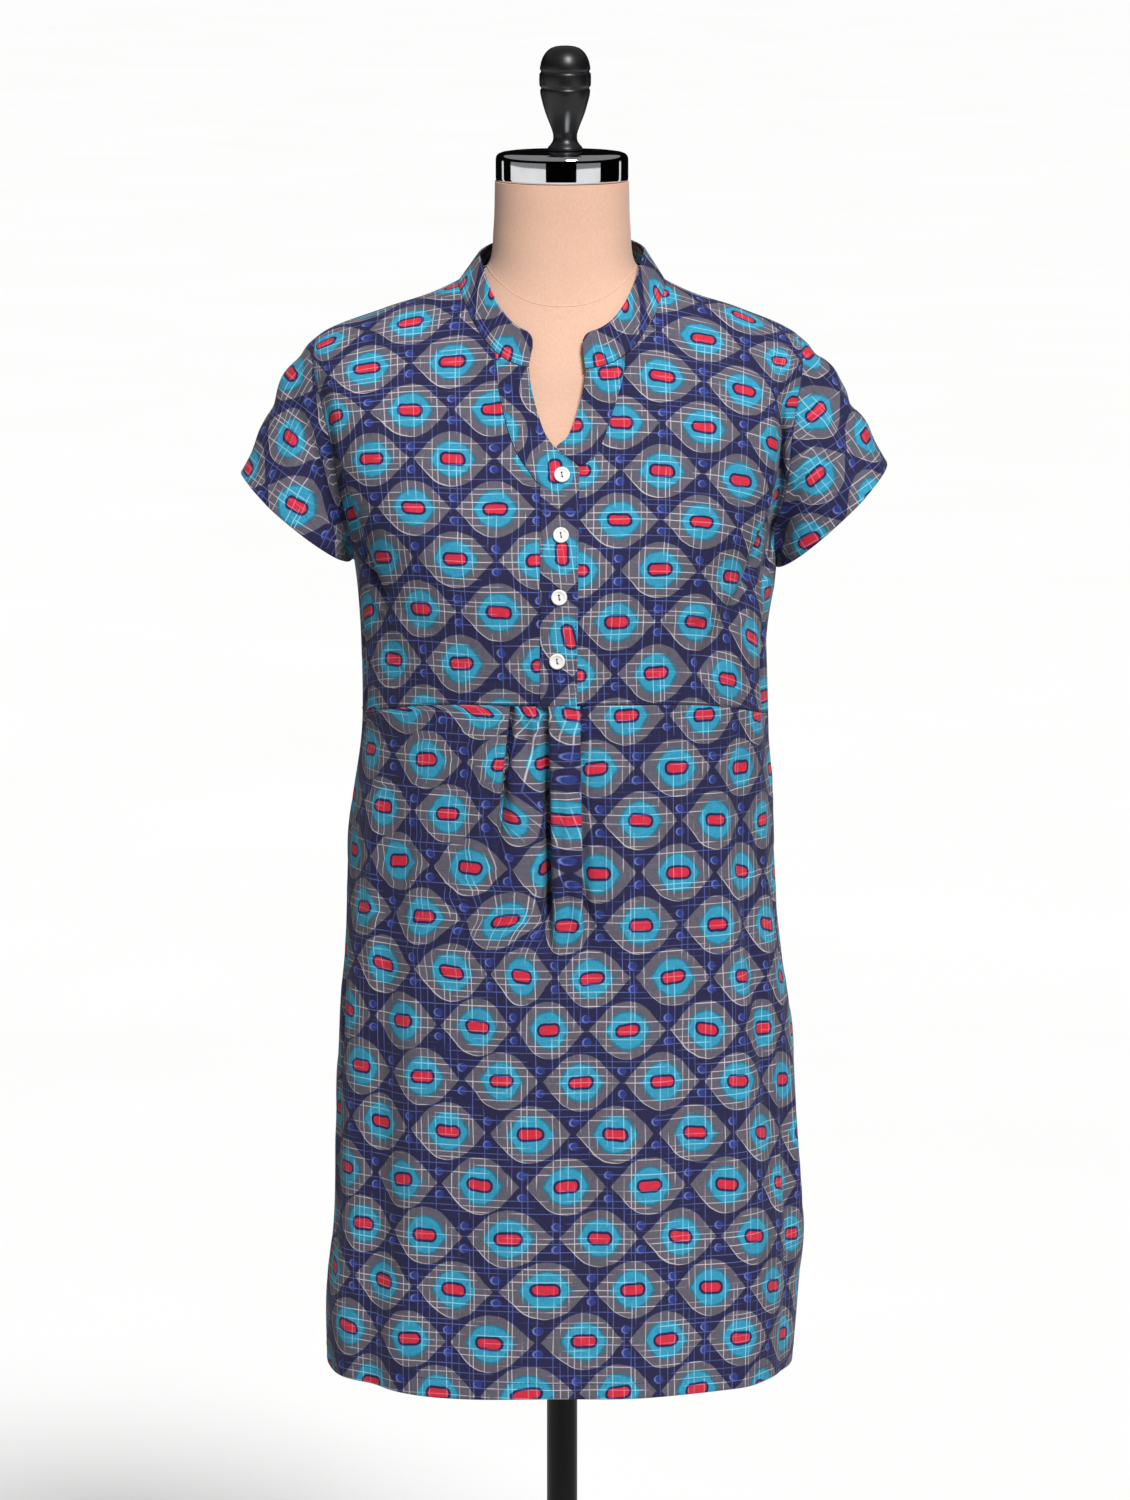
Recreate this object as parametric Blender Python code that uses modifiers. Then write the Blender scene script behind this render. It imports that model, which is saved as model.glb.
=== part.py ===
"""A printed cotton tunic top, worn on a limbless dress form that stands on a pole and a round base.

Units are metres, +Z is up and the tunic's front faces -Y. The origin is the middle of the base's
underside. Left and right are those of someone who looks at the front.
"""
import bpy
import bmesh
import numpy as np
from collections import namedtuple
from math import cos, pi, radians, sin
from mathutils import Vector

# Cloth
WALL = 0.0012               # thickness of every cloth wall
GAP = 0.0003                # space at a seam, and between things that lie on each other
LAYER = WALL + GAP          # from the middle of one cloth layer to the middle of the next
STRIP_LIFT = LAYER + GAP    # of the placket and the neck strip, which lie on the fronts
ROUNDNESS = 0.85            # below 1, a section through the body is squarer than an ellipse

# Sections through the worn tunic, from the collar seam down to the hem. Each row is a closed line
# round the body: its half widths and height at the two sides, how steeply it climbs from the
# middle to the sides, and its depth and height at the front and at the back.
SECTION_COLUMNS = ("left_width", "right_width", "side_z", "rise",
                   "front_depth", "front_z", "back_depth", "back_z")
TUNIC_SECTIONS = {
    "collar_seam":    (0.0830, 0.0830, 1.4190, 3.0, 0.0820, 1.3570, 0.0640, 1.4330),
    "shoulder_in":    (0.1100, 0.1100, 1.4080, 2.4, 0.0880, 1.3250, 0.0760, 1.4050),
    "shoulder_mid":   (0.1450, 0.1450, 1.3970, 2.1, 0.0970, 1.2950, 0.0900, 1.3680),
    "shoulder_point": (0.1980, 0.1940, 1.3770, 2.0, 0.1080, 1.2620, 0.1020, 1.3250),
    "arm_upper":      (0.2040, 0.2020, 1.3400, 2.0, 0.1180, 1.2300, 0.1080, 1.2850),
    "arm_mid":        (0.1920, 0.1920, 1.2800, 2.0, 0.1270, 1.2000, 0.1110, 1.2400),
    "underarm":       (0.1670, 0.1680, 1.1960, 2.4, 0.1310, 1.1650, 0.1120, 1.1850),
    "yoke_seam":      (0.1610, 0.1670, 1.0740, 4.0, 0.1310, 1.0960, 0.1120, 1.0740),
    "waist":          (0.1700, 0.1690, 0.9960, 4.0, 0.1320, 1.0020, 0.1130, 0.9960),
    "high_hip":       (0.1755, 0.1750, 0.9160, 4.0, 0.1340, 0.9160, 0.1170, 0.9160),
    "hip":            (0.1805, 0.1845, 0.8320, 4.0, 0.1360, 0.8320, 0.1220, 0.8320),
    "upper_thigh":    (0.1830, 0.1910, 0.7500, 4.0, 0.1380, 0.7500, 0.1270, 0.7500),
    "thigh":          (0.1850, 0.1965, 0.6650, 4.0, 0.1400, 0.6650, 0.1320, 0.6650),
    "above_hem":      (0.1930, 0.1935, 0.5950, 4.0, 0.1410, 0.5950, 0.1360, 0.5950),
    "hem":            (0.1930, 0.1890, 0.5370, 4.0, 0.1420, 0.5370, 0.1380, 0.5370),
}
SECTION_NAMES = list(TUNIC_SECTIONS)
SHOULDER_POINT = SECTION_NAMES.index("shoulder_point")
UNDERARM = SECTION_NAMES.index("underarm")
YOKE_SEAM = SECTION_NAMES.index("yoke_seam")
HIGH_HIP = SECTION_NAMES.index("high_hip")
HEM = SECTION_NAMES.index("hem")

# The band collar's top edge, in the same columns, and the width and corner of its open ends
COLLAR_TOP = (0.0660, 0.0660, 1.4460, 3.0, 0.0735, 1.3850, 0.0560, 1.4550)
COLLAR_LEFT_END = -0.0265
COLLAR_RIGHT_END = 0.0185
COLLAR_CORNER = 0.011       # radius of the rounded ends
COLLAR_END_COLUMNS = 8      # columns at each end that the rounding may reach

# Lines round the neck opening, read by the height of the front: the placket's stitched outer line
# and its folded inner line, the right strip's inner and outer line, and the right yoke's edge.
NECK_COLUMNS = ("front_z", "placket_outer", "placket_inner", "strip_inner", "strip_outer",
                "yoke_right")
NECK_LINES = (
    (1.3570, -0.0530, -0.0258, 0.0190, 0.0496, 0.0200),
    (1.3450, -0.0511, -0.0246, 0.0175, 0.0485, 0.0185),
    (1.3300, -0.0493, -0.0212, 0.0141, 0.0440, 0.0151),
    (1.3120, -0.0450, -0.0155, 0.0080, 0.0376, 0.0090),
    (1.3035, -0.0420, -0.0110, 0.0030, 0.0345, 0.0040),
    (1.2965, -0.0392, -0.0050, -0.0044, 0.0310, -0.0040),
    (1.2890, -0.0353, 0.0043, 0.0049, 0.0270, -0.0110),
    (1.2820, -0.0300, 0.0128, 0.0134, 0.0160, -0.0157),
    (1.2740, -0.0232, 0.0136, 0.0136, 0.0160, -0.0157),
    (1.2646, -0.0178, 0.0136, 0.0136, 0.0160, -0.0157),
    (1.2550, -0.0172, 0.0134, 0.0136, 0.0160, -0.0157),
    (1.0960, -0.0172, 0.0118, 0.0136, 0.0160, -0.0157),
)
V_APEX_Z = 1.2965
STRIP_END_Z = 1.2830
YOKE_LEFT_EDGE = -0.0160    # where the left yoke ends under the placket
STRIP_TUCK = 0.0010         # how far a strip's folded edge stands past the yoke under it

# Armholes: how far they cut into the front and the back, in degrees round the body
ARMHOLE_FRONT = 22.0
ARMHOLE_BACK = 20.0

# Cap sleeves: the ends of each cuff's long axis, its half width front to back, and the direction
# in which the cloth leaves the cuff
Sleeve = namedtuple("Sleeve", "side tip_x tip_z inner_x inner_z half_depth")
SLEEVES = {
    "sleeve_left": Sleeve(-1, 0.2570, 1.2680, 0.1730, 1.1870, 0.058),
    "sleeve_right": Sleeve(1, 0.2595, 1.2740, 0.1775, 1.1860, 0.059),
}
SLEEVE_RINGS = 6
CUFF_DIRECTION = (0.55, 0.0, -0.83)
UNDERARM_DIRECTION = (1.0, 0.0, 0.0)
SHOULDER_DIRECTION = (0.80, 0.0, -0.60)
SEAM_PROBE = radians(2)     # how far inside the armhole the body's slope is read

# Pressed pleats under the yoke seam. Each leans from top_x to foot_x; the cloth is tucked under by
# underlap as far as pressed_z, then opens, and the fold has gone at foot_z. Side is +1 where the
# cloth on the left lies on top, and -1 where the cloth on the right does.
Pleat = namedtuple("Pleat", "side top_x foot_x underlap pressed_z foot_z")
PLEATS = {
    "left_pleat": Pleat(1, -0.0410, -0.0560, 0.0050, 1.050, 0.960),
    "small_tuck": Pleat(1, -0.0210, -0.0195, 0.0010, 1.088, 1.060),
    "box_left": Pleat(-1, -0.0104, -0.0060, 0.0090, 0.985, 0.880),
    "box_right": Pleat(1, 0.0140, 0.0175, 0.0090, 0.975, 0.880),
}
PLEAT_TOP_Z = TUNIC_SECTIONS["yoke_seam"][SECTION_COLUMNS.index("front_z")]
FULL_OPEN_TURN = 0.02       # the small bend that is left of a fold at its foot, in radians
FOLD_RADIUS = 0.0009        # of the middle of the cloth round a pressed edge
OPEN_RADIUS = 0.0060        # of the soft wave that a pleat ends in
TURN_STEPS = 4              # flat faces round one folded edge
PLEAT_LEFT = -0.0800        # the pleats' part of the lower front
PLEAT_RIGHT = 0.0500

# Soft folds: angle round the body at the top and foot, first and last section, half width in
# degrees, and how far the cloth stands out (+) or sinks in (-). Folds that end past the hem still
# show there.
Fold = namedtuple("Fold", "top_angle foot_angle top_row foot_row half_width height")
FOLDS = (
    Fold(64.0, 62.0, 2.9, 6.5, 4.5, -0.0085),
    Fold(72.0, 40.0, 5.6, 6.7, 7.0, -0.0035),
    Fold(-66.0, -64.0, 3.2, 6.4, 5.0, -0.0040),
    Fold(-70.0, -48.0, 5.7, 6.9, 7.0, -0.0025),
    Fold(54.0, 60.0, 6.8, 12.0, 5.0, -0.0055),
    Fold(46.0, 50.0, 7.6, 18.0, 8.0, 0.0040),
    Fold(66.0, 72.0, 9.5, 14.4, 6.0, -0.0065),
    Fold(-50.0, -52.0, 7.2, 18.0, 7.0, -0.0060),
    Fold(-68.0, -66.0, 8.6, 15.0, 8.0, 0.0035),
    Fold(-20.0, -26.0, 8.8, 18.0, 9.0, -0.0030),
    Fold(10.0, 16.0, 9.4, 19.0, 9.0, 0.0030),
    Fold(150.0, 153.0, 6.0, 18.0, 8.0, -0.0060),
    Fold(-150.0, -155.0, 6.4, 18.0, 9.0, -0.0055),
    Fold(178.0, 182.0, 8.0, 19.0, 11.0, 0.0050),
    Fold(118.0, 122.0, 6.2, 13.0, 6.0, -0.0045),
    Fold(-118.0, -120.0, 6.0, 12.5, 6.0, -0.0040),
    Fold(120.0, 112.0, 3.2, 6.4, 6.0, -0.0045),
    Fold(-120.0, -112.0, 3.2, 6.4, 6.0, -0.0045),
)

# Buttons
BUTTON_RADIUS = 0.0063
BUTTON_HEIGHT = 0.0022
BUTTON_HOLE_RADIUS = 0.0008
BUTTON_HOLE_SPACING = 0.0034
BUTTON_TILT = 100.0         # the line through the two holes, in degrees
BUTTONS = ((0.0000, 1.2755), (-0.0008, 1.2294), (-0.0022, 1.1820), (-0.0038, 1.1317))

# Dress form, in the same columns as the tunic's sections
FORM_SECTIONS = {
    "neck_top":       (0.0536, 0.0536, 1.5000, 2.0, 0.0536, 1.5000, 0.0536, 1.5000),
    "neck_mid":       (0.0547, 0.0547, 1.4640, 2.0, 0.0548, 1.4560, 0.0548, 1.4660),
    "neck_low":       (0.0590, 0.0590, 1.4340, 2.0, 0.0600, 1.4080, 0.0530, 1.4440),
    "collar":         (0.0800, 0.0800, 1.4180, 3.0, 0.0740, 1.3570, 0.0590, 1.4270),
    "shoulder_in":    (0.1094, 0.1094, 1.4068, 2.4, 0.0800, 1.3270, 0.0720, 1.4020),
    "shoulder_mid":   (0.1445, 0.1445, 1.3958, 2.1, 0.0890, 1.2970, 0.0860, 1.3650),
    "shoulder_end":   (0.1820, 0.1800, 1.3811, 2.0, 0.0990, 1.2700, 0.0970, 1.3300),
    "shoulder_edge":  (0.1900, 0.1880, 1.3560, 2.0, 0.1080, 1.2380, 0.1030, 1.2950),
    "arm_plate":      (0.1790, 0.1790, 1.2900, 2.0, 0.1180, 1.2040, 0.1050, 1.2400),
    "underarm":       (0.1560, 0.1570, 1.1960, 2.2, 0.1220, 1.1650, 0.1020, 1.1850),
    "under_bust":     (0.1420, 0.1440, 1.1100, 3.0, 0.1100, 1.1050, 0.0940, 1.1100),
    "waist":          (0.1220, 0.1220, 1.0200, 4.0, 0.0920, 1.0200, 0.0820, 1.0200),
    "high_hip":       (0.1470, 0.1470, 0.9350, 4.0, 0.1050, 0.9350, 0.0980, 0.9350),
    "hip":            (0.1640, 0.1640, 0.8600, 4.0, 0.1160, 0.8600, 0.1120, 0.8600),
    "hip_low":        (0.1630, 0.1630, 0.8000, 4.0, 0.1150, 0.8000, 0.1130, 0.8000),
    "rim":            (0.1580, 0.1580, 0.7700, 4.0, 0.1110, 0.7700, 0.1090, 0.7700),
    "underside":      (0.1490, 0.1490, 0.7600, 4.0, 0.1030, 0.7600, 0.1010, 0.7600),
}
FORM_TOP_Z = FORM_SECTIONS["neck_top"][2]
FORM_UNDERSIDE_Z = FORM_SECTIONS["underside"][2]
FORM_COLUMNS = 32
FORM_RINGS_PER_SECTION = 2

# Neck cap: height above the neck, radius, from the axis at the top to the axis at the bottom
CAP_PROFILE = ((0.0240, 0.0000), (0.0240, 0.0350), (0.0232, 0.0455), (0.0215, 0.0500),
               (0.0190, 0.0523), (0.0160, 0.0530), (0.0008, 0.0530), (0.0000, 0.0523),
               (0.0000, 0.0000))
CAP_HEIGHT = CAP_PROFILE[0][0]
# Knob: how far it stands to the right of the cap's middle, then height above the cap and radius
KNOB_ASIDE = 0.0025
KNOB_PROFILE = ((0.0830, 0.0000), (0.0826, 0.0070), (0.0800, 0.0130), (0.0740, 0.0178),
                (0.0650, 0.0202), (0.0625, 0.0196), (0.0600, 0.0205), (0.0520, 0.0205),
                (0.0490, 0.0196), (0.0465, 0.0198), (0.0400, 0.0186), (0.0300, 0.0160),
                (0.0200, 0.0120), (0.0120, 0.0095), (0.0070, 0.0100), (0.0020, 0.0138),
                (0.0000, 0.0140), (0.0000, 0.0000))

# Pole and base
POLE_RADIUS = 0.0125
BASE_RADIUS = 0.170
BASE_HEIGHT = 0.009
BASE_EDGE = 0.002
HUB_RADIUS = 0.022
HUB_HEIGHT = 0.036
SOCKET_FLOOR = 0.006


def clear_scene():
    """Start from an empty scene."""
    for thing in list(bpy.data.objects):
        bpy.data.objects.remove(thing, do_unlink=True)


def new_collection(name):
    """Add a collection to the scene."""
    collection = bpy.data.collections.new(name)
    bpy.context.scene.collection.children.link(collection)
    return collection


def srgb(code):
    """Turn a six-digit hex colour into linear red, green, blue and alpha."""
    values = [int(code[place:place + 2], 16) / 255 for place in (0, 2, 4)]
    return [v / 12.92 if v <= 0.04045 else ((v + 0.055) / 1.055) ** 2.4 for v in values] + [1.0]


def finish(thing, colour, roughness, metallic=0.0):
    """Give an object its own plain material."""
    material = bpy.data.materials.new(thing.name)
    material.use_nodes = True
    shader = material.node_tree.nodes["Principled BSDF"]
    shader.inputs["Base Color"].default_value = srgb(colour)
    shader.inputs["Roughness"].default_value = roughness
    shader.inputs["Metallic"].default_value = metallic
    thing.data.materials.append(material)


def add_object(name, mesh, collection):
    """Put a mesh into the scene as one named sub-part."""
    thing = bpy.data.objects.new(name, mesh)
    collection.objects.link(thing)
    return thing


def smooth_rows(table, place):
    """Read a table at fractional row numbers, on a smooth curve through its rows."""
    rows = np.array(table, dtype=float)
    rows = np.vstack((2 * rows[0] - rows[1], rows, 2 * rows[-1] - rows[-2]))
    place = np.clip(np.asarray(place, dtype=float), 0, len(rows) - 3)
    low = np.minimum(place.astype(int), len(rows) - 4)
    part = (place - low)[..., None]
    before, start, end, after = (rows[low + step] for step in range(4))
    leave = (end - before) / 2
    arrive = (after - start) / 2
    cubic = 2 * (start - end) + leave + arrive
    square = 3 * (end - start) - 2 * leave - arrive
    return ((cubic * part + square) * part + leave) * part + start


def section_point(sections, angle, row):
    """Point on a body given by its sections; the angle is 0 at the front and 90 degrees at right."""
    angle, row = np.broadcast_arrays(np.asarray(angle, float), np.asarray(row, float))
    values = smooth_rows(list(sections.values()), row)
    named = {name: values[..., place] for place, name in enumerate(SECTION_COLUMNS)}
    across = np.sin(angle)
    along = np.cos(angle)
    width = np.where(across < 0, named["left_width"], named["right_width"])
    depth = np.where(along >= 0, -named["front_depth"], named["back_depth"])
    middle_z = np.where(along >= 0, named["front_z"], named["back_z"])
    x = width * np.sign(across) * np.abs(across) ** ROUNDNESS
    y = depth * np.abs(along) ** ROUNDNESS
    z = middle_z + (named["side_z"] - middle_z) * np.abs(across) ** named["rise"]
    return np.stack((x, y, z), axis=-1)


def unit(vectors):
    """Scale vectors to length one."""
    vectors = np.asarray(vectors, dtype=float)
    return vectors / np.linalg.norm(vectors, axis=-1, keepdims=True)


def outward(angle, row):
    """Direction straight out of the tunic."""
    step_angle = radians(1.5)
    step_row = 0.05
    round_body = (section_point(TUNIC_SECTIONS, angle + step_angle, row)
                  - section_point(TUNIC_SECTIONS, angle - step_angle, row))
    down = (section_point(TUNIC_SECTIONS, angle, row + step_row)
            - section_point(TUNIC_SECTIONS, angle, row - step_row))
    return unit(np.cross(down, round_body))


def fold_height(angle, row):
    """How far the soft folds push the cloth out of its plain form."""
    height = np.zeros(np.broadcast(angle, row).shape)
    for fold in FOLDS:
        along = np.clip((row - fold.top_row) / (fold.foot_row - fold.top_row), 0.0, 1.0)
        centre = fold.top_angle + (fold.foot_angle - fold.top_angle) * along
        away = (np.degrees(angle) - centre + 180.0) % 360.0 - 180.0
        shape = np.sin(pi * along) ** 0.8 * np.exp(-(away / fold.half_width) ** 2)
        height = height + fold.height * shape
    return height


def cloth(angle, row, lift=0.0):
    """Point on the draped tunic, moved out by lift."""
    out = outward(angle, row) * (fold_height(angle, row) + lift)[..., None]
    return section_point(TUNIC_SECTIONS, angle, row) + out


def angle_at(x, row):
    """Angle of the point of a section that lies at x on the front."""
    values = smooth_rows(list(TUNIC_SECTIONS.values()), row)
    width = np.where(x < 0, values[..., 0], values[..., 1])
    share = np.clip(np.abs(x) / width, 0.0, 1.0) ** (1 / ROUNDNESS)
    return np.arcsin(share) * np.sign(x)


def front_z_at(row):
    """Height of a section at the middle of the front."""
    return smooth_rows(list(TUNIC_SECTIONS.values()), row)[..., SECTION_COLUMNS.index("front_z")]


def row_at(front_z):
    """Row whose middle of the front is at a height."""
    rows = np.linspace(0, HEM, 1401)
    return np.interp(-front_z, -front_z_at(rows), rows)


def neck_line(name, row):
    """One of the lines round the neck opening, as x, at the given rows."""
    fine = smooth_rows(NECK_LINES, np.linspace(0, len(NECK_LINES) - 1, 400))
    return np.interp(-front_z_at(row), -fine[:, 0], fine[:, NECK_COLUMNS.index(name)])


def armhole_share(row):
    """How deep the armhole cuts at a row, from 0 at its two ends to 1 in the middle."""
    middle = (SHOULDER_POINT + UNDERARM) / 2
    half = (UNDERARM - SHOULDER_POINT) / 2
    return np.sqrt(np.clip(1 - ((row - middle) / half) ** 2, 0.0, 1.0))


def armhole_rows(count):
    """Rows down an armhole, closer together at its two ends."""
    middle = (SHOULDER_POINT + UNDERARM) / 2
    half = (UNDERARM - SHOULDER_POINT) / 2
    return middle - half * np.cos(np.linspace(0, pi, count + 1))


def grid_mesh(name, points, closed=False):
    """Mesh through a grid of points; a closed grid joins its last column to its first."""
    rows, columns = points.shape[:2]
    across = columns if closed else columns - 1
    faces = []
    for row in range(rows - 1):
        for column in range(across):
            beside = (column + 1) % columns
            faces.append((row * columns + column, (row + 1) * columns + column,
                          (row + 1) * columns + beside, row * columns + beside))
    mesh = bpy.data.meshes.new(name)
    mesh.from_pydata(points.reshape(-1, 3).tolist(), [], faces)
    mesh.validate()
    return mesh


def cloth_piece(name, points, collection, colour, closed=False):
    """Cut piece of cloth: a grid of points on its middle, given the wall's thickness."""
    mesh = grid_mesh(name, points, closed)
    mesh.shade_smooth()
    thing = add_object(name, mesh, collection)
    wall = thing.modifiers.new("wall", "SOLIDIFY")
    wall.thickness = WALL
    wall.offset = 0.0
    finish(thing, colour, 0.85)
    return thing


def draw_in(points, edges):
    """Move the named edges of a grid in by half a seam's gap."""
    moved = points.copy()
    pairs = {"top": (np.s_[0], np.s_[1]), "foot": (np.s_[-1], np.s_[-2]),
             "start": (np.s_[:, 0], np.s_[:, 1]), "end": (np.s_[:, -1], np.s_[:, -2])}
    for edge in edges:
        outer, inner = pairs[edge]
        moved[outer] += unit(points[inner] - points[outer]) * GAP / 2
    return moved


def between(start, end, share):
    """Grid of values from a start column to an end column."""
    return start[:, None] + (end - start)[:, None] * share[None, :]


# Rows that every panel of the body shares, so that their walls meet point to point at the seams
APEX_ROW = float(row_at(V_APEX_Z))
STRIP_END_ROW = float(row_at(STRIP_END_Z))
SHOULDER_ROWS = np.array([0.0, 0.5, 1.0, 1.45, APEX_ROW, STRIP_END_ROW, 2.65, SHOULDER_POINT])
ARMHOLE_STEPS = 10
ARM_ROWS = armhole_rows(ARMHOLE_STEPS)
SIDE_ROWS = np.linspace(UNDERARM, YOKE_SEAM, 5)
UPPER_ROWS = np.concatenate((SHOULDER_ROWS, ARM_ROWS[1:], SIDE_ROWS[1:]))
PLEAT_ROWS = np.array([7.0, 7.12, 7.3, 7.5, 7.75, 8.0, 8.3, 8.65, HIGH_HIP])
LOWER_ROWS = np.concatenate((PLEAT_ROWS, np.linspace(HIGH_HIP, HEM, 8)[1:]))


def front_yoke(name, side, collection):
    """Upper front, from the shoulder seam to the seam under the bust."""
    rows = UPPER_ROWS
    seam = radians(90) - radians(ARMHOLE_FRONT) * armhole_share(rows)
    if side < 0:
        edge_x = np.minimum(neck_line("placket_inner", rows) - STRIP_TUCK, YOKE_LEFT_EDGE)
    else:
        edge_x = neck_line("yoke_right", rows)
    angles = between(angle_at(edge_x, rows), side * seam, np.linspace(0, 1, 10))
    points = cloth(angles, rows[:, None] + 0 * angles)
    return cloth_piece(name, draw_in(points, ("foot", "end")), collection, "3A3560")


def back_piece(collection):
    """Back in one piece, from the collar seam to the hem."""
    rows = np.concatenate((UPPER_ROWS, LOWER_ROWS[1:]))
    seam = radians(90) + radians(ARMHOLE_BACK) * armhole_share(rows)
    angles = between(seam, 2 * pi - seam, np.linspace(0, 1, 19))
    points = cloth(angles, rows[:, None] + 0 * angles)
    return cloth_piece("back", draw_in(points, ("start", "end")), collection, "332F58")


def fold_line(side, turn, underlap, radius):
    """Section through one pleat, from its upper to its lower layer, with its edge at x = 0."""
    angles = np.concatenate((np.linspace(0, turn, TURN_STEPS + 1),
                             np.linspace(turn, 0, TURN_STEPS + 1)))
    arc = radius * turn / TURN_STEPS
    x = [0.0]
    height = [0.0]
    for start, end in zip(angles[:-1], angles[1:]):
        middle = (start + end) / 2
        length = underlap if start == end else arc
        x.append(x[-1] + length * cos(middle))
        height.append(height[-1] - length * sin(middle))
    line = np.stack((x, height), axis=1)
    line[:, 0] -= line[:TURN_STEPS + 1, 0].max()
    line[:, 1] -= line[-1, 1]
    line[:, 0] *= side
    return line if side > 0 else line[::-1]


def pleat_section(front_z):
    """Section through the pleated part of the lower front, as x and height off the body."""
    folds = []
    drop = PLEAT_TOP_Z - front_z
    for pleat in PLEATS.values():
        length = PLEAT_TOP_Z - pleat.foot_z
        pressed_length = PLEAT_TOP_Z - pleat.pressed_z
        along = np.clip(drop / length, 0.0, 1.0)
        pressed = np.clip(drop / pressed_length, 0.0, 1.0)
        opened = np.clip((drop - pressed_length) / (length - pressed_length), 0.0, 1.0)
        turn = pi * (1 - opened) ** 1.5 + FULL_OPEN_TURN
        radius = FOLD_RADIUS + (OPEN_RADIUS - FOLD_RADIUS) * opened
        line = fold_line(pleat.side, turn, max(pleat.underlap * (1 - pressed ** 2), GAP), radius)
        line[:, 0] += pleat.top_x + (pleat.foot_x - pleat.top_x) * along
        folds.append(line)
    left, tuck, box_left, box_right = folds
    climb = np.linspace(0, 1, 5)
    before = np.stack((PLEAT_LEFT + (left[0, 0] - PLEAT_LEFT) * climb, left[0, 1] * climb ** 2),
                      axis=1)[:-1]
    between_folds = [((left[-1, 0] + tuck[0, 0]) / 2, 0.0)]
    after = np.stack((box_right[-1, 0] + (PLEAT_RIGHT - box_right[-1, 0]) * climb, 0 * climb),
                     axis=1)[1:]
    return np.vstack((before, left, between_folds, tuck, box_left, box_right, after))


def front_skirt(collection):
    """Lower front: cut wider than the yoke, the extra taken in by the pleats under the placket."""
    sections = np.array([pleat_section(z) for z in front_z_at(LOWER_ROWS)])
    rows = LOWER_ROWS[:, None]
    middle = angle_at(sections[..., 0], rows + 0 * sections[..., 0])
    quarter = np.full(len(LOWER_ROWS), radians(90))
    left = between(-quarter, middle[:, 0], np.linspace(0, 1, 9))[:, :-1]
    right = between(middle[:, -1], quarter, np.linspace(0, 1, 10))[:, 1:]
    angles = np.hstack((left, middle, right))
    lift = np.hstack((0 * left, sections[..., 1], 0 * right))
    points = cloth(angles, rows + 0 * angles, lift)
    return cloth_piece("skirt_front", draw_in(points, ("top", "start", "end")), collection,
                       "37335D")


def seam_ring():
    """Front and back of the right armhole as one ring: angles and rows, from the shoulder."""
    rows = np.concatenate((ARM_ROWS, ARM_ROWS[-2:0:-1]))
    front = radians(90) - radians(ARMHOLE_FRONT) * armhole_share(ARM_ROWS)
    back = radians(90) + radians(ARMHOLE_BACK) * armhole_share(ARM_ROWS[-2:0:-1])
    return np.concatenate((front, back)), rows


def sleeve(name, collection):
    """Cap sleeve: cloth that leaves the armhole along the body and curves down to the cuff."""
    side, tip_x, tip_z, inner_x, inner_z, half_depth = SLEEVES[name]
    mirror = np.array((side, 1, 1))
    angles, rows = seam_ring()
    count = len(rows)
    seam = cloth(side * angles, rows)
    inward = np.where(angles > radians(90), 1, -1)
    inside = cloth(side * (angles + inward * SEAM_PROBE), rows)
    along = np.roll(seam, -1, axis=0) - np.roll(seam, 1, axis=0)
    off_edge = seam - inside
    off_edge -= unit(along) * np.sum(off_edge * unit(along), axis=1, keepdims=True)
    off_edge = unit(off_edge)
    turn = np.linspace(0, 2 * pi, count, endpoint=False)
    off_edge[0] = np.array(SHOULDER_DIRECTION) * mirror
    off_edge[count // 2] = (0, 0, 1)
    low = (np.sin(turn / 2) ** 4)[:, None]
    high = (np.cos(turn / 2) ** 8)[:, None]
    start_way = unit(off_edge * (1 - low) * (1 - high)
                     + (high * SHOULDER_DIRECTION + low * UNDERARM_DIRECTION) * mirror)
    lean = np.sqrt(np.clip(1 - np.sum(start_way * off_edge, axis=1) ** 2, 0.0, 1.0))
    start = seam + off_edge * (GAP + lean * WALL / 2)[:, None]
    centre = np.array((side * (tip_x + inner_x) / 2, 0.0, (tip_z + inner_z) / 2))
    to_tip = np.array((side * (tip_x - inner_x) / 2, 0.0, (tip_z - inner_z) / 2))
    to_front = np.array((0.0, -half_depth, 0.0))
    cuff = centre + np.cos(turn)[:, None] * to_tip + np.sin(turn)[:, None] * to_front
    end_way = unit(np.array(CUFF_DIRECTION) * mirror)
    length = np.linalg.norm(cuff - start, axis=1, keepdims=True)
    rings = []
    for share in np.linspace(0, 1, SLEEVE_RINGS):
        rings.append((2 * share ** 3 - 3 * share ** 2 + 1) * start
                     + (share ** 3 - 2 * share ** 2 + share) * start_way * length
                     + (3 * share ** 2 - 2 * share ** 3) * cuff
                     + (share ** 3 - share ** 2) * end_way * length)
    return cloth_piece(name, np.array(rings), collection, "3A3560", closed=True)


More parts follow.
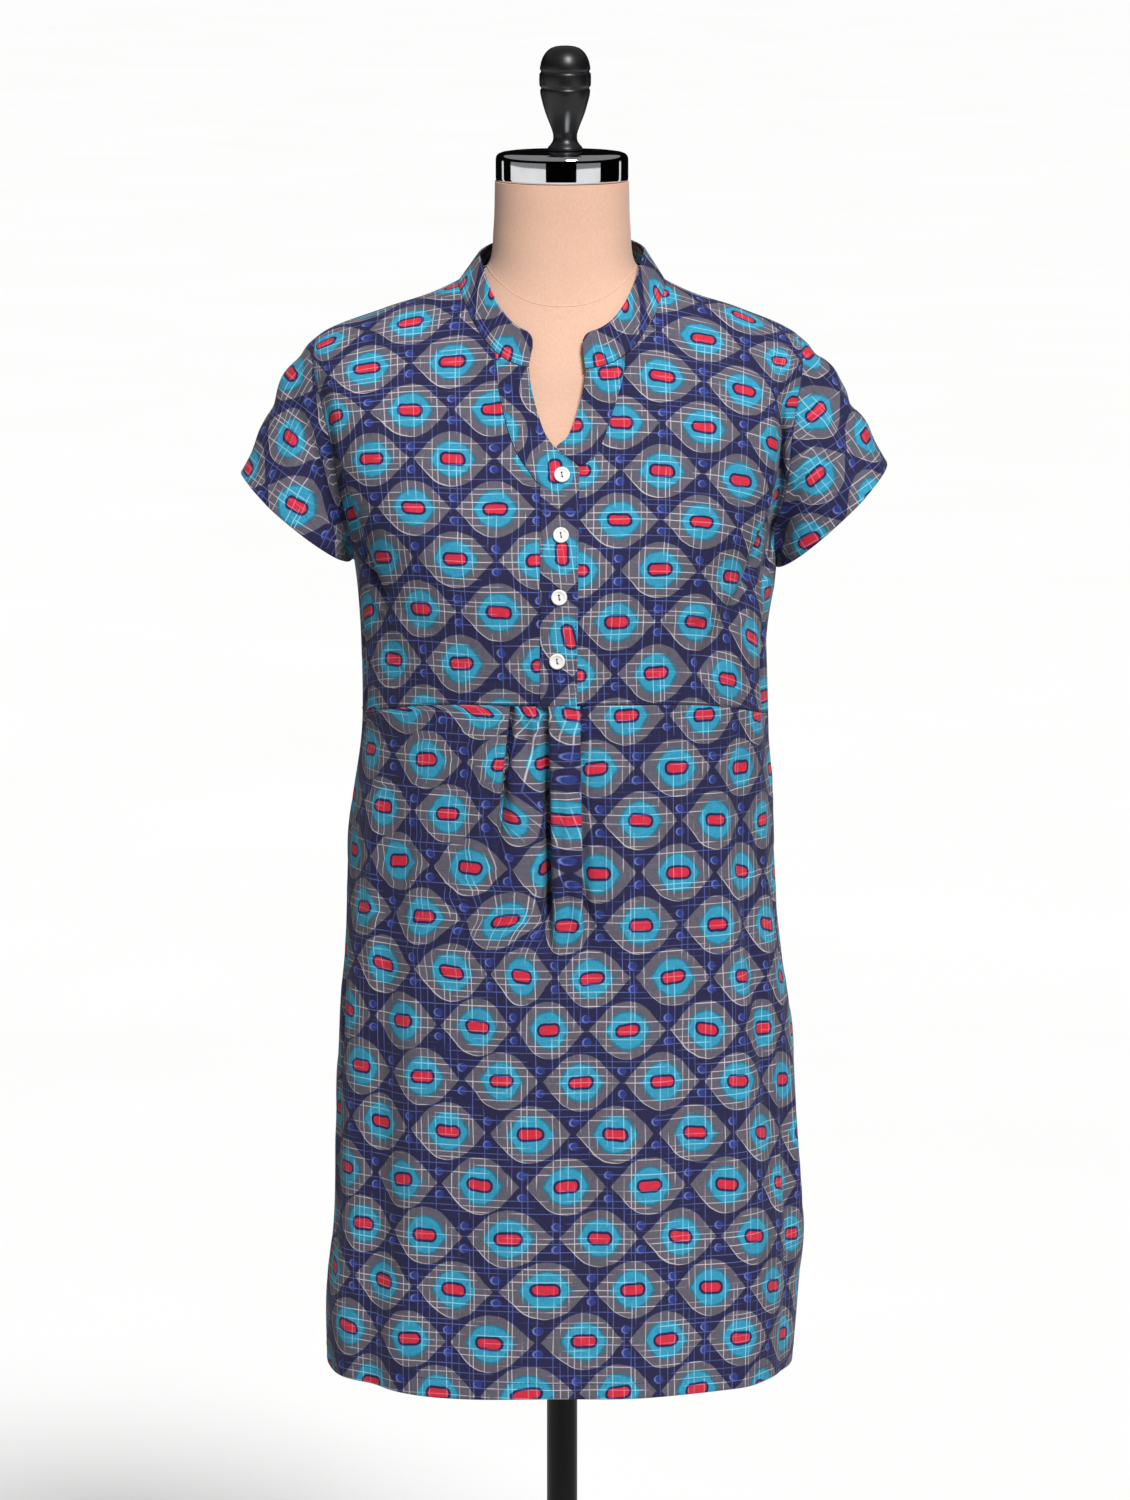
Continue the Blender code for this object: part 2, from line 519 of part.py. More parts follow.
def collar(collection):
    """Band collar: it stands up from the neck seam, open in front, with rounded ends."""
    last, first = angle_at(np.array([COLLAR_LEFT_END, COLLAR_RIGHT_END]), np.zeros(2))
    last += 2 * pi
    corner = radians(4)
    ends = corner * np.array([0.0, 0.3, 1.0, 2.0])
    angles = np.concatenate((first + ends, np.linspace(first + 4 * corner, last - 4 * corner, 21),
                             last - ends[::-1]))
    foot = cloth(angles, 0 * angles, 0 * angles + LAYER / 2)
    below = cloth(angles, 0 * angles + 0.1)
    uphill = unit(foot - below)
    foot = foot + uphill * (GAP + WALL / 2)
    top = section_point({"a": COLLAR_TOP, "b": COLLAR_TOP}, angles, 0 * angles)
    height = np.linalg.norm(top - foot, axis=1)
    from_end = np.minimum(np.abs(foot[:, 0] - foot[0, 0]), np.abs(foot[:, 0] - foot[-1, 0]))
    from_end[COLLAR_END_COLUMNS:-COLLAR_END_COLUMNS] = COLLAR_CORNER
    short = COLLAR_CORNER - np.minimum(from_end, COLLAR_CORNER)
    cut = COLLAR_CORNER - np.sqrt(COLLAR_CORNER ** 2 - short ** 2)
    share = (1 - cut / height)[:, None]
    rows = [foot + (top - foot) * share * step for step in np.linspace(0, 1, 4)]
    return cloth_piece("collar", np.array(rows), collection, "343058")


def neck_strip(name, outer, inner, rows, collection):
    """Strip of cloth that lies on the fronts between two lines of the neck opening."""
    shares = np.linspace(0, 1, 5)
    x = between(neck_line(outer, rows), neck_line(inner, rows), shares)
    grid_rows = rows[:, None] + 0 * x
    points = cloth(angle_at(x, grid_rows), grid_rows, 0 * x + STRIP_LIFT)
    return cloth_piece(name, draw_in(points, ("foot",)), collection, "3E3A66")


def turned(name, profile, steps, collection):
    """Closed turned solid from a profile of (height, radius) that runs from top to bottom."""
    mesh = bpy.data.meshes.new(name)
    points = [(radius, 0.0, height) for height, radius in profile]
    mesh.from_pydata(points, [(place, place + 1) for place in range(len(points) - 1)], [])
    thing = add_object(name, mesh, collection)
    screw = thing.modifiers.new("turned", "SCREW")
    screw.steps = steps
    screw.render_steps = steps
    screw.use_merge_vertices = True
    screw.merge_threshold = 0.00001
    screw.use_smooth_shade = True
    return thing


def baked_mesh(thing, name):
    """Mesh of an object with its modifiers worked out."""
    bpy.context.view_layer.update()
    evaluated = thing.evaluated_get(bpy.context.evaluated_depsgraph_get())
    mesh = bpy.data.meshes.new_from_object(evaluated)
    mesh.name = name
    return mesh


def button_mesh(cutters):
    """Round button with a raised rim and two holes."""
    radius = BUTTON_RADIUS
    profile = ((BUTTON_HEIGHT * 0.72, 0.0), (BUTTON_HEIGHT * 0.72, radius * 0.58),
               (BUTTON_HEIGHT, radius * 0.74), (BUTTON_HEIGHT, radius * 0.90),
               (BUTTON_HEIGHT * 0.72, radius), (BUTTON_HEIGHT * 0.25, radius * 0.98),
               (0.0, radius * 0.88), (0.0, 0.0))
    blank = turned("button_blank", profile, 20, cutters)
    for way in (-1, 1):
        place = (way * BUTTON_HOLE_SPACING / 2, 0.0, BUTTON_HEIGHT / 2)
        bpy.ops.mesh.primitive_cylinder_add(vertices=8, radius=BUTTON_HOLE_RADIUS,
                                            depth=BUTTON_HEIGHT * 3, location=place)
        drill = bpy.context.object
        drill.name = "button_drill_left" if way < 0 else "button_drill_right"
        for owner in list(drill.users_collection):
            owner.objects.unlink(drill)
        cutters.objects.link(drill)
        drill.hide_render = True
        drill.display_type = "WIRE"
        hole = blank.modifiers.new("hole", "BOOLEAN")
        hole.operation = "DIFFERENCE"
        hole.object = drill
    mesh = baked_mesh(blank, "button")
    bpy.data.objects.remove(blank, do_unlink=True)
    return mesh


def buttons(collection, cutters):
    """Four buttons down the placket, each flat on it."""
    shared = button_mesh(cutters)
    for number, (x, z) in enumerate(BUTTONS, start=1):
        row = row_at(np.array([z]))
        angle = angle_at(np.array([x]), row)
        seat = cloth(angle, row, np.array([STRIP_LIFT + WALL / 2 + 1.5 * GAP]))[0]
        way = Vector(outward(angle, row)[0])
        thing = add_object(f"button_{number}", shared.copy(), collection)
        thing.location = seat
        turn = way.to_track_quat("Z", "Y").to_matrix().to_4x4()
        thing.rotation_euler = turn.to_euler()
        thing.rotation_euler.rotate_axis("Z", radians(BUTTON_TILT))
        thing.data.materials.clear()
        finish(thing, "F1EFEA", 0.3)


def dress_form(collection):
    """Limbless torso and neck, closed at the neck's top and flat underneath."""
    rings = (len(FORM_SECTIONS) - 1) * FORM_RINGS_PER_SECTION
    rows = np.linspace(0, len(FORM_SECTIONS) - 1, rings + 1)[:, None]
    angles = np.linspace(0, 2 * pi, FORM_COLUMNS, endpoint=False)[None, :]
    points = section_point(FORM_SECTIONS, angles + 0 * rows, rows + 0 * angles)
    mesh = grid_mesh("dress_form", points, closed=True)
    shell = bmesh.new()
    shell.from_mesh(mesh)
    shell.verts.ensure_lookup_table()
    shell.faces.new([shell.verts[place] for place in range(FORM_COLUMNS)])
    last = rings * FORM_COLUMNS
    shell.faces.new([shell.verts[last + place] for place in reversed(range(FORM_COLUMNS))])
    bmesh.ops.recalc_face_normals(shell, faces=shell.faces)
    shell.to_mesh(mesh)
    shell.free()
    mesh.shade_smooth()
    thing = add_object("dress_form", mesh, collection)
    finish(thing, "E2B79B", 0.8)


def stand(collection):
    """Neck cap and knob above the form, pole and base below it."""
    cap = turned("neck_cap", CAP_PROFILE, 32, collection)
    cap.location.z = FORM_TOP_Z + GAP
    finish(cap, "D8DADC", 0.08, metallic=1.0)
    knob = turned("knob", KNOB_PROFILE, 24, collection)
    knob.location = (KNOB_ASIDE, 0.0, FORM_TOP_Z + CAP_HEIGHT + 2 * GAP)
    finish(knob, "1B1B1D", 0.45)
    length = FORM_UNDERSIDE_Z - SOCKET_FLOOR - 2 * GAP
    bpy.ops.mesh.primitive_cylinder_add(vertices=24, radius=POLE_RADIUS, depth=length)
    pole = bpy.context.object
    pole.name = "pole"
    pole.data.name = "pole"
    pole.location.z = SOCKET_FLOOR + GAP + length / 2
    for owner in list(pole.users_collection):
        owner.objects.unlink(pole)
    collection.objects.link(pole)
    finish(pole, "17171A", 0.3)
    bore = POLE_RADIUS + GAP
    profile = ((SOCKET_FLOOR, 0.0), (SOCKET_FLOOR, bore), (HUB_HEIGHT, bore),
               (HUB_HEIGHT, HUB_RADIUS - BASE_EDGE), (HUB_HEIGHT - BASE_EDGE, HUB_RADIUS),
               (BASE_HEIGHT, HUB_RADIUS), (BASE_HEIGHT, BASE_RADIUS - BASE_EDGE),
               (BASE_HEIGHT - BASE_EDGE, BASE_RADIUS), (0.0, BASE_RADIUS), (0.0, 0.0))
    base = turned("base", profile, 40, collection)
    finish(base, "18181A", 0.4)


def build():
    """Make every sub-part."""
    clear_scene()
    tunic = new_collection("tunic_on_dress_form")
    cutters = new_collection("cutters")
    front_yoke("front_yoke_left", -1, tunic)
    front_yoke("front_yoke_right", 1, tunic)
    front_skirt(tunic)
    back_piece(tunic)
    for name in SLEEVES:
        sleeve(name, tunic)
    collar(tunic)
    placket_rows = UPPER_ROWS
    neck_strip("placket", "placket_outer", "placket_inner", placket_rows, tunic)
    strip_rows = UPPER_ROWS[UPPER_ROWS <= STRIP_END_ROW + 1e-9]
    neck_strip("neck_strip_right", "strip_outer", "strip_inner", strip_rows, tunic)
    buttons(tunic, cutters)
    dress_form(tunic)
    stand(tunic)


build()
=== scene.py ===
"""Visual model of a printed cotton tunic top, worn on a limbless dress form that stands on a pole.

Units are metres, +Z is up and the tunic's front faces -Y. Left and right are those of someone who
looks at the front.
"""
import bpy
import bmesh
import numpy as np
from collections import namedtuple
from math import cos, pi, radians, sin
from mathutils import Matrix, Vector


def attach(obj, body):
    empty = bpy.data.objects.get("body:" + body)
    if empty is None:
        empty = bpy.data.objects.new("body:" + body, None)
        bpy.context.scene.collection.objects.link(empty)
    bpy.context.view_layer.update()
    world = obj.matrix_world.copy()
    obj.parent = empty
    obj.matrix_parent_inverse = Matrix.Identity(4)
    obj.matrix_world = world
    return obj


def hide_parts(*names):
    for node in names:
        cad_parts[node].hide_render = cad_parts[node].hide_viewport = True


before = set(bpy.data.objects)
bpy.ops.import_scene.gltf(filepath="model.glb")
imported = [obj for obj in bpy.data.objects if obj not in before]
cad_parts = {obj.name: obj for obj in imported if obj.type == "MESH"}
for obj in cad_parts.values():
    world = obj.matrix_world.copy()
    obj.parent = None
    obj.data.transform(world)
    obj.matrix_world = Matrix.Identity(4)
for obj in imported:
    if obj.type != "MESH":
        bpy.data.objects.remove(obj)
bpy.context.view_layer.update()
scene = bpy.context.scene

# Camera. A long lens five metres in front of the form, a little above its collar and looking
# slightly down.
CAMERA_POINT = (0.0024, -5.0, 1.8407)
CAMERA_DOWN = 9.1           # degrees below level
camera = bpy.data.objects.new("camera", bpy.data.cameras.new("camera"))
camera.data.lens = 150
camera.data.sensor_width = 36
camera.data.clip_end = 300
camera.location = CAMERA_POINT
camera.rotation_euler = (radians(90 - CAMERA_DOWN), 0, 0)
scene.collection.objects.link(camera)
scene.camera = camera

# Studio. A white painted floor that runs out of sight, and soft white light from all round with a
# wide lamp in front, as in a product photograph.
FLOOR_HALF = 120.0
ROOM_STRENGTH = 0.275
KEY_STRENGTH = 3.75         # of the sun-like wide lamp, in W per square metre
KEY_TURN = (47.0, 0.0, 19.5)
KEY_SPREAD = 16.0           # degrees, how wide the lamp is
# Black screens that stand round the form and leave two bright gaps in front, so that metal shows
# dark and white bands. Only reflections see them. Each runs from one bearing to the next, in
# degrees round the form from the camera's side towards the right, between two heights.
SCREEN_AWAY = 4.0
SCREEN_STEPS = 24           # flat faces along each screen
SCREENS = ((-28, 25, 0.0, 1.75), (70, 118, 0.0, 1.75), (124, 180, 0.0, 1.75),
           (-180, -128, 0.0, 1.75), (-122, -100, 0.0, 1.75), (-180, 180, 1.75, 3.4))


def srgb(code):
    """Turn a six-digit hex colour into linear red, green, blue and alpha."""
    values = [int(code[place:place + 2], 16) / 255 for place in (0, 2, 4)]
    return [v / 12.92 if v <= 0.04045 else ((v + 0.055) / 1.055) ** 2.4 for v in values] + [1.0]


def add_node(tree, kind, inputs=None, **settings):
    """Add one shader or geometry node with its settings, input values and links."""
    made = tree.nodes.new(kind)
    for name, value in settings.items():
        setattr(made, name, value)
    for place, value in (inputs or {}).items():
        socket = made.inputs[place]
        if isinstance(value, bpy.types.Node):
            value = next(out for out in value.outputs if out.enabled)
        if isinstance(value, bpy.types.NodeSocket):
            tree.links.new(value, socket)
        else:
            socket.default_value = value
    return made


def new_material(name, roughness, **shader_inputs):
    """Material with a principled shader; returns it, its tree and the shader."""
    material = bpy.data.materials.new(name)
    material.use_nodes = True
    shader = material.node_tree.nodes["Principled BSDF"]
    shader.inputs["Roughness"].default_value = roughness
    for place, value in shader_inputs.items():
        shader.inputs[place.replace("_", " ")].default_value = value
    return material, material.node_tree, shader


def mottle(tree, shader, dark, light, stretch=None, bump=None, **noise):
    """Colour a material with soft noise between two shades, in the object's own coordinates.

    The noise may be stretched along an axis, and may also give a bump of a strength and depth."""
    where = add_node(tree, "ShaderNodeTexCoord").outputs["Object"]
    if stretch:
        where = add_node(tree, "ShaderNodeMapping", {"Vector": where, "Scale": stretch})
    cloud = add_node(tree, "ShaderNodeTexNoise", dict(noise, Vector=where))
    tint = add_node(tree, "ShaderNodeMix", {0: cloud, 6: srgb(dark), 7: srgb(light)},
                    data_type="RGBA")
    tree.links.new(tint.outputs[2], shader.inputs["Base Color"])
    if bump:
        relief = add_node(tree, "ShaderNodeBump", {"Strength": bump[0], "Distance": bump[1],
                                                   "Height": cloud})
        tree.links.new(relief.outputs[0], shader.inputs["Normal"])


scene.view_settings.view_transform = "Standard"
room = bpy.data.worlds.new("studio_room")
room.use_nodes = True
scene.world = room
room.node_tree.nodes["Background"].inputs["Color"].default_value = (1.0, 1.0, 1.0, 1.0)
room.node_tree.nodes["Background"].inputs["Strength"].default_value = ROOM_STRENGTH
key = bpy.data.objects.new("wide_lamp", bpy.data.lights.new("wide_lamp", "SUN"))
key.data.energy = KEY_STRENGTH
key.data.angle = radians(KEY_SPREAD)
key.rotation_euler = [radians(turn) for turn in KEY_TURN]
scene.collection.objects.link(key)

floor_mesh = bpy.data.meshes.new("floor")
floor_mesh.from_pydata([(-FLOOR_HALF, -FLOOR_HALF, 0), (FLOOR_HALF, -FLOOR_HALF, 0),
                        (FLOOR_HALF, FLOOR_HALF, 0), (-FLOOR_HALF, FLOOR_HALF, 0)], [],
                       [(0, 1, 2, 3)])
floor = bpy.data.objects.new("floor", floor_mesh)
scene.collection.objects.link(floor)
# Matt emulsion paint rolled on board: white, without gloss, very slightly uneven.
floor_paint, tree, shader = new_material("white_emulsion_paint", 0.9)
mottle(tree, shader, "F6F6F5", "FAFAFA", Scale=1.2, Detail=2.0)
floor.data.materials.append(floor_paint)
# The floor throws no light up on the cloth, as if a black cloth lay in front of the form
floor.visible_diffuse = False
# Black stage cloth, matt and without sheen, so that it sends back no light.
screen_cloth, tree, shader = new_material("black_stage_cloth", 1.0, Specular_IOR_Level=0.0)
mottle(tree, shader, "060606", "0B0B0B", Scale=3.0)
for number, (first, last, foot_z, top_z) in enumerate(SCREENS, start=1):
    bearings = np.radians(np.linspace(first, last, SCREEN_STEPS + 1))
    round_form = np.stack((SCREEN_AWAY * np.sin(bearings), -SCREEN_AWAY * np.cos(bearings)), 1)
    corners = [(x, y, z) for z in (foot_z, top_z) for x, y in round_form]
    screen_mesh = bpy.data.meshes.new(f"screen_{number}")
    screen_mesh.from_pydata(corners, [], [(step, step + SCREEN_STEPS + 1,
                                           step + SCREEN_STEPS + 2, step + 1)
                                          for step in range(SCREEN_STEPS)])
    screen = bpy.data.objects.new(f"screen_{number}", screen_mesh)
    scene.collection.objects.link(screen)
    screen.data.materials.append(screen_cloth)
    for kind in ("camera", "diffuse", "shadow", "transmission", "volume_scatter"):
        setattr(screen, "visible_" + kind, False)


# Front yokes. The upper front in two pieces of printed slub cotton, cut from the shoulder seam to
# the seam under the bust, and open down the middle. They set the shape of the whole worn tunic.
WALL = 0.0006               # one layer of the cloth
GAP = 0.0003                # space left at a seam
ROUNDNESS = 0.85            # below 1, a section through the body is squarer than an ellipse
# Sections through the worn tunic, from the collar seam down to the hem. Each row is a closed line
# round the body: its half widths and height at the two sides, how steeply it climbs from the
# middle to the sides, and its depth and height at the front and at the back.
SECTION_COLUMNS = ("left_width", "right_width", "side_z", "rise",
                   "front_depth", "front_z", "back_depth", "back_z")
TUNIC_SECTIONS = {
    "collar_seam":    (0.0830, 0.0830, 1.4190, 3.0, 0.0820, 1.3570, 0.0640, 1.4330),
    "shoulder_in":    (0.1100, 0.1100, 1.4080, 2.4, 0.0880, 1.3250, 0.0760, 1.4050),
    "shoulder_mid":   (0.1450, 0.1450, 1.3970, 2.1, 0.0970, 1.2950, 0.0900, 1.3680),
    "shoulder_point": (0.1965, 0.1905, 1.3750, 2.0, 0.1080, 1.2620, 0.1020, 1.3250),
    "arm_upper":      (0.2040, 0.1990, 1.3400, 2.0, 0.1180, 1.2300, 0.1080, 1.2850),
    "arm_mid":        (0.1920, 0.1920, 1.2800, 2.0, 0.1270, 1.2000, 0.1110, 1.2400),
    "underarm":       (0.1670, 0.1680, 1.1960, 2.4, 0.1310, 1.1650, 0.1120, 1.1850),
    "yoke_seam":      (0.1610, 0.1670, 1.0740, 4.0, 0.1310, 1.0960, 0.1120, 1.0740),
    "waist":          (0.1700, 0.1690, 0.9960, 4.0, 0.1320, 1.0020, 0.1130, 0.9960),
    "high_hip":       (0.1755, 0.1750, 0.9160, 4.0, 0.1340, 0.9160, 0.1170, 0.9160),
    "hip":            (0.1805, 0.1845, 0.8320, 4.0, 0.1360, 0.8320, 0.1220, 0.8320),
    "upper_thigh":    (0.1830, 0.1910, 0.7500, 4.0, 0.1380, 0.7500, 0.1270, 0.7500),
    "thigh":          (0.1850, 0.1965, 0.6650, 4.0, 0.1400, 0.6650, 0.1320, 0.6650),
    "above_hem":      (0.1930, 0.1935, 0.5950, 4.0, 0.1410, 0.5950, 0.1360, 0.5950),
    "hem":            (0.1930, 0.1890, 0.5370, 4.0, 0.1420, 0.5370, 0.1380, 0.5370),
}
SECTION_NAMES = list(TUNIC_SECTIONS)
SHOULDER_POINT = SECTION_NAMES.index("shoulder_point")
UNDERARM = SECTION_NAMES.index("underarm")
YOKE_SEAM = SECTION_NAMES.index("yoke_seam")
HIGH_HIP = SECTION_NAMES.index("high_hip")
HEM = SECTION_NAMES.index("hem")
# Lines round the neck opening, read by the height of the front: the placket's stitched outer line
# and its folded inner line, the right strip's inner and outer line, and the right yoke's edge.
NECK_COLUMNS = ("front_z", "placket_outer", "placket_inner", "strip_inner", "strip_outer",
                "yoke_right")
NECK_LINES = (
    (1.3570, -0.0530, -0.0258, 0.0190, 0.0496, 0.0200),
    (1.3450, -0.0511, -0.0246, 0.0175, 0.0485, 0.0185),
    (1.3300, -0.0493, -0.0212, 0.0141, 0.0440, 0.0151),
    (1.3120, -0.0450, -0.0155, 0.0080, 0.0376, 0.0090),
    (1.3035, -0.0420, -0.0110, 0.0030, 0.0345, 0.0040),
    (1.2965, -0.0392, -0.0050, -0.0044, 0.0310, -0.0040),
    (1.2890, -0.0353, 0.0043, 0.0049, 0.0270, -0.0110),
    (1.2820, -0.0300, 0.0128, 0.0134, 0.0160, -0.0157),
    (1.2740, -0.0232, 0.0136, 0.0136, 0.0160, -0.0157),
    (1.2646, -0.0178, 0.0136, 0.0136, 0.0160, -0.0157),
    (1.2550, -0.0172, 0.0134, 0.0136, 0.0160, -0.0157),
    (1.0960, -0.0172, 0.0118, 0.0136, 0.0160, -0.0157),
)
STRIP_END_Z = 1.2830
YOKE_LEFT_EDGE = -0.0160    # where the left yoke ends under the placket
STRIP_TUCK = 0.0010         # how far a strip's folded edge stands past the yoke under it
ARMHOLE_FRONT = 22.0        # how far the armholes cut into the front, in degrees round the body
ARMHOLE_BACK = 20.0
ARMHOLE_STEPS = 54          # rows of faces down an armhole
# Soft folds of the whole drape: angle round the body at the top and foot, first and last section,
# half width in degrees, and how far the cloth stands out (+) or sinks in (-).
Fold = namedtuple("Fold", "top_angle foot_angle top_row foot_row half_width height")
FOLDS = (
    Fold(64.0, 62.0, 2.9, 6.5, 4.5, -0.0085),
    Fold(72.0, 40.0, 5.6, 6.7, 7.0, -0.0035),
    Fold(-66.0, -64.0, 3.2, 6.4, 5.0, -0.0040),
    Fold(-70.0, -48.0, 5.7, 6.9, 7.0, -0.0025),
    Fold(54.0, 60.0, 6.8, 12.0, 5.0, -0.0055),
    Fold(46.0, 50.0, 7.6, 18.0, 8.0, 0.0040),
    Fold(66.0, 72.0, 9.5, 14.4, 6.0, -0.0065),
    Fold(-50.0, -52.0, 7.2, 18.0, 7.0, -0.0060),
    Fold(-68.0, -66.0, 8.6, 15.0, 8.0, 0.0035),
    Fold(-20.0, -26.0, 8.8, 18.0, 9.0, -0.0030),
    Fold(10.0, 16.0, 9.4, 19.0, 9.0, 0.0030),
    Fold(150.0, 153.0, 6.0, 18.0, 8.0, -0.0060),
    Fold(-150.0, -155.0, 6.4, 18.0, 9.0, -0.0055),
    Fold(178.0, 182.0, 8.0, 19.0, 11.0, 0.0050),
    Fold(118.0, 122.0, 6.2, 13.0, 6.0, -0.0045),
    Fold(-118.0, -120.0, 6.0, 12.5, 6.0, -0.0040),
    Fold(120.0, 112.0, 3.2, 6.4, 6.0, -0.0045),
    Fold(-120.0, -112.0, 3.2, 6.4, 6.0, -0.0045),
    Fold(90.0, 90.0, 5.6, 6.5, 10.0, 0.0050),
    Fold(90.0, 90.0, 6.2, 7.6, 11.0, -0.0040),
)
# Creases, finer than the folds: height out of the cloth, width of the slope on each side, and the
# line that they follow, as angle round the body and height above the floor.
Crease = namedtuple("Crease", "height left_width right_width line")
GIRTH_PER_DEGREE = 0.0027   # metres round the body, for a crease's width
CREASE_END = 0.012          # how far a crease runs out past the ends of its line
CREASES = (
    # waves of the two side edges
    Crease(0.0018, 0.0140, 0.0120, ((88, 1.010), (91, 0.985), (88, 0.960))),
    Crease(-0.0030, 0.0150, 0.0150, ((90, 0.930), (88, 0.885), (90, 0.850))),
    Crease(0.0016, 0.0160, 0.0140, ((89, 0.830), (92, 0.810), (89, 0.785))),
    Crease(-0.0028, 0.0150, 0.0150, ((91, 0.750), (89, 0.705), (92, 0.670))),
    Crease(0.0016, 0.0160, 0.0140, ((90, 0.665), (87, 0.640), (90, 0.610))),
    Crease(0.0016, 0.0140, 0.0140, ((-90, 1.000), (-87, 0.975), (-90, 0.950))),
    Crease(-0.0026, 0.0150, 0.0150, ((-91, 0.930), (-88, 0.885), (-91, 0.845))),
    Crease(0.0018, 0.0150, 0.0150, ((-89, 0.790), (-92, 0.765), (-89, 0.735))),
    Crease(-0.0030, 0.0150, 0.0150, ((-91, 0.700), (-88, 0.660), (-91, 0.620))),
    # ridges and a hollow beside the pleats
    Crease(0.0050, 0.0100, 0.0080, ((-10, 1.060), (-9.5, 0.990), (-10, 0.920))),
    Crease(0.0035, 0.0080, 0.0110, ((11, 1.050), (11.5, 0.970), (11, 0.890))),
    Crease(0.0030, 0.0080, 0.0050, ((-17.5, 1.075), (-19, 1.010), (-21, 0.950))),
    Crease(-0.0045, 0.0050, 0.0050, ((-7.6, 1.090), (-7.4, 1.070), (-7.8, 1.050))),
    # pulls at the armholes and under the arms
    Crease(0.0050, 0.0080, 0.0050, ((58, 1.335), (60, 1.280), (57, 1.215))),
    Crease(-0.0035, 0.0050, 0.0045, ((64, 1.200), (57, 1.180), (51, 1.172))),
    Crease(0.0022, 0.0050, 0.0080, ((66, 1.190), (60, 1.160), (55, 1.152))),
    Crease(-0.0036, 0.0045, 0.0055, ((-66, 1.215), (-62, 1.190), (-54, 1.172))),
    Crease(0.0022, 0.0060, 0.0060, ((-68, 1.200), (-64, 1.172), (-57, 1.156))),
    Crease(-0.0030, 0.0060, 0.0060, ((78, 1.165), (74, 1.120), (76, 1.060))),
    Crease(0.0026, 0.0070, 0.0060, ((84, 1.150), (82, 1.090), (85, 1.020), (82, 0.960))),
    Crease(-0.0026, 0.0060, 0.0060, ((-80, 1.160), (-77, 1.110), (-80, 1.050))),
    # long creases down the side panels
    Crease(-0.0030, 0.0060, 0.0070, ((75, 0.950), (80, 0.900), (78, 0.840))),
    Crease(0.0032, 0.0070, 0.0070, ((80, 0.800), (77, 0.720), (81, 0.650))),
    Crease(-0.0030, 0.0070, 0.0060, ((-79, 0.900), (-76, 0.820), (-80, 0.740))),
    Crease(0.0030, 0.0060, 0.0080, ((-83, 0.790), (-80, 0.690), (-84, 0.600))),
    # shallow creases over the front of the bust
    Crease(-0.0022, 0.008, 0.004, ((58, 1.345), (61, 1.290), (60, 1.235))),
    Crease(0.0020, 0.010, 0.006, ((50, 1.190), (38, 1.165), (26, 1.160))),
    Crease(-0.0018, 0.005, 0.008, ((52, 1.176), (41, 1.140), (36, 1.110))),
    Crease(0.0014, 0.009, 0.006, ((20, 1.330), (24, 1.270), (22, 1.220))),
    Crease(-0.0013, 0.007, 0.009, ((-22, 1.320), (-28, 1.260), (-25, 1.200))),
    Crease(0.0014, 0.007, 0.010, ((-58, 1.330), (-60, 1.280), (-57, 1.225))),
    Crease(-0.0016, 0.006, 0.009, ((-56, 1.185), (-44, 1.160), (-32, 1.150))),
    Crease(0.0011, 0.008, 0.008, ((-48, 1.125), (-30, 1.115), (-15, 1.118))),
    # the front below the seam
    Crease(0.0020, 0.007, 0.010, ((-58, 1.060), (-60, 0.960), (-56, 0.860), (-58, 0.760))),
    Crease(-0.0018, 0.009, 0.006, ((-40, 1.050), (-44, 0.950), (-43, 0.880))),
    Crease(0.0016, 0.009, 0.007, ((-33, 0.960), (-38, 0.840), (-36, 0.700), (-40, 0.560))),
    Crease(0.0015, 0.006, 0.011, ((-8, 0.930), (-12, 0.800), (-11, 0.660))),
    Crease(-0.0013, 0.012, 0.008, ((6, 0.880), (3, 0.740), (5, 0.600))),
    Crease(0.0022, 0.008, 0.012, ((30, 1.040), (35, 0.930), (34, 0.800), (38, 0.690))),
    Crease(-0.0024, 0.007, 0.010, ((62, 1.050), (66, 0.960), (64, 0.890))),
    Crease(0.0025, 0.010, 0.007, ((60, 0.900), (66, 0.790), (65, 0.680), (69, 0.580))),
    Crease(-0.0017, 0.010, 0.010, ((26, 0.860), (29, 0.730), (27, 0.610))),
    # the back
    Crease(0.0016, 0.009, 0.006, ((160, 1.340), (156, 1.240), (158, 1.150))),
    Crease(-0.0015, 0.007, 0.010, ((198, 1.330), (203, 1.230), (200, 1.130))),
    Crease(0.0024, 0.010, 0.008, ((165, 1.080), (168, 0.930), (166, 0.770), (169, 0.600))),
    Crease(-0.0022, 0.008, 0.011, ((196, 1.060), (192, 0.900), (195, 0.740))),
    Crease(0.0022, 0.011, 0.008, ((212, 1.020), (216, 0.860), (213, 0.700), (217, 0.570))),
    Crease(-0.0023, 0.009, 0.007, ((141, 1.000), (137, 0.850), (140, 0.690))),
    Crease(0.0020, 0.008, 0.009, ((232, 1.150), (235, 0.990), (231, 0.830))),
    Crease(0.0018, 0.009, 0.008, ((127, 1.170), (124, 1.010), (128, 0.860))),
    Crease(-0.0020, 0.008, 0.010, ((246, 0.960), (249, 0.820), (246, 0.660))),
    Crease(-0.0020, 0.009, 0.008, ((108, 0.980), (105, 0.830), (109, 0.680))),
    Crease(-0.0018, 0.006, 0.009, ((232, 1.260), (220, 1.210), (205, 1.190))),
    Crease(-0.0018, 0.006, 0.009, ((128, 1.260), (141, 1.205), (155, 1.190))),
)


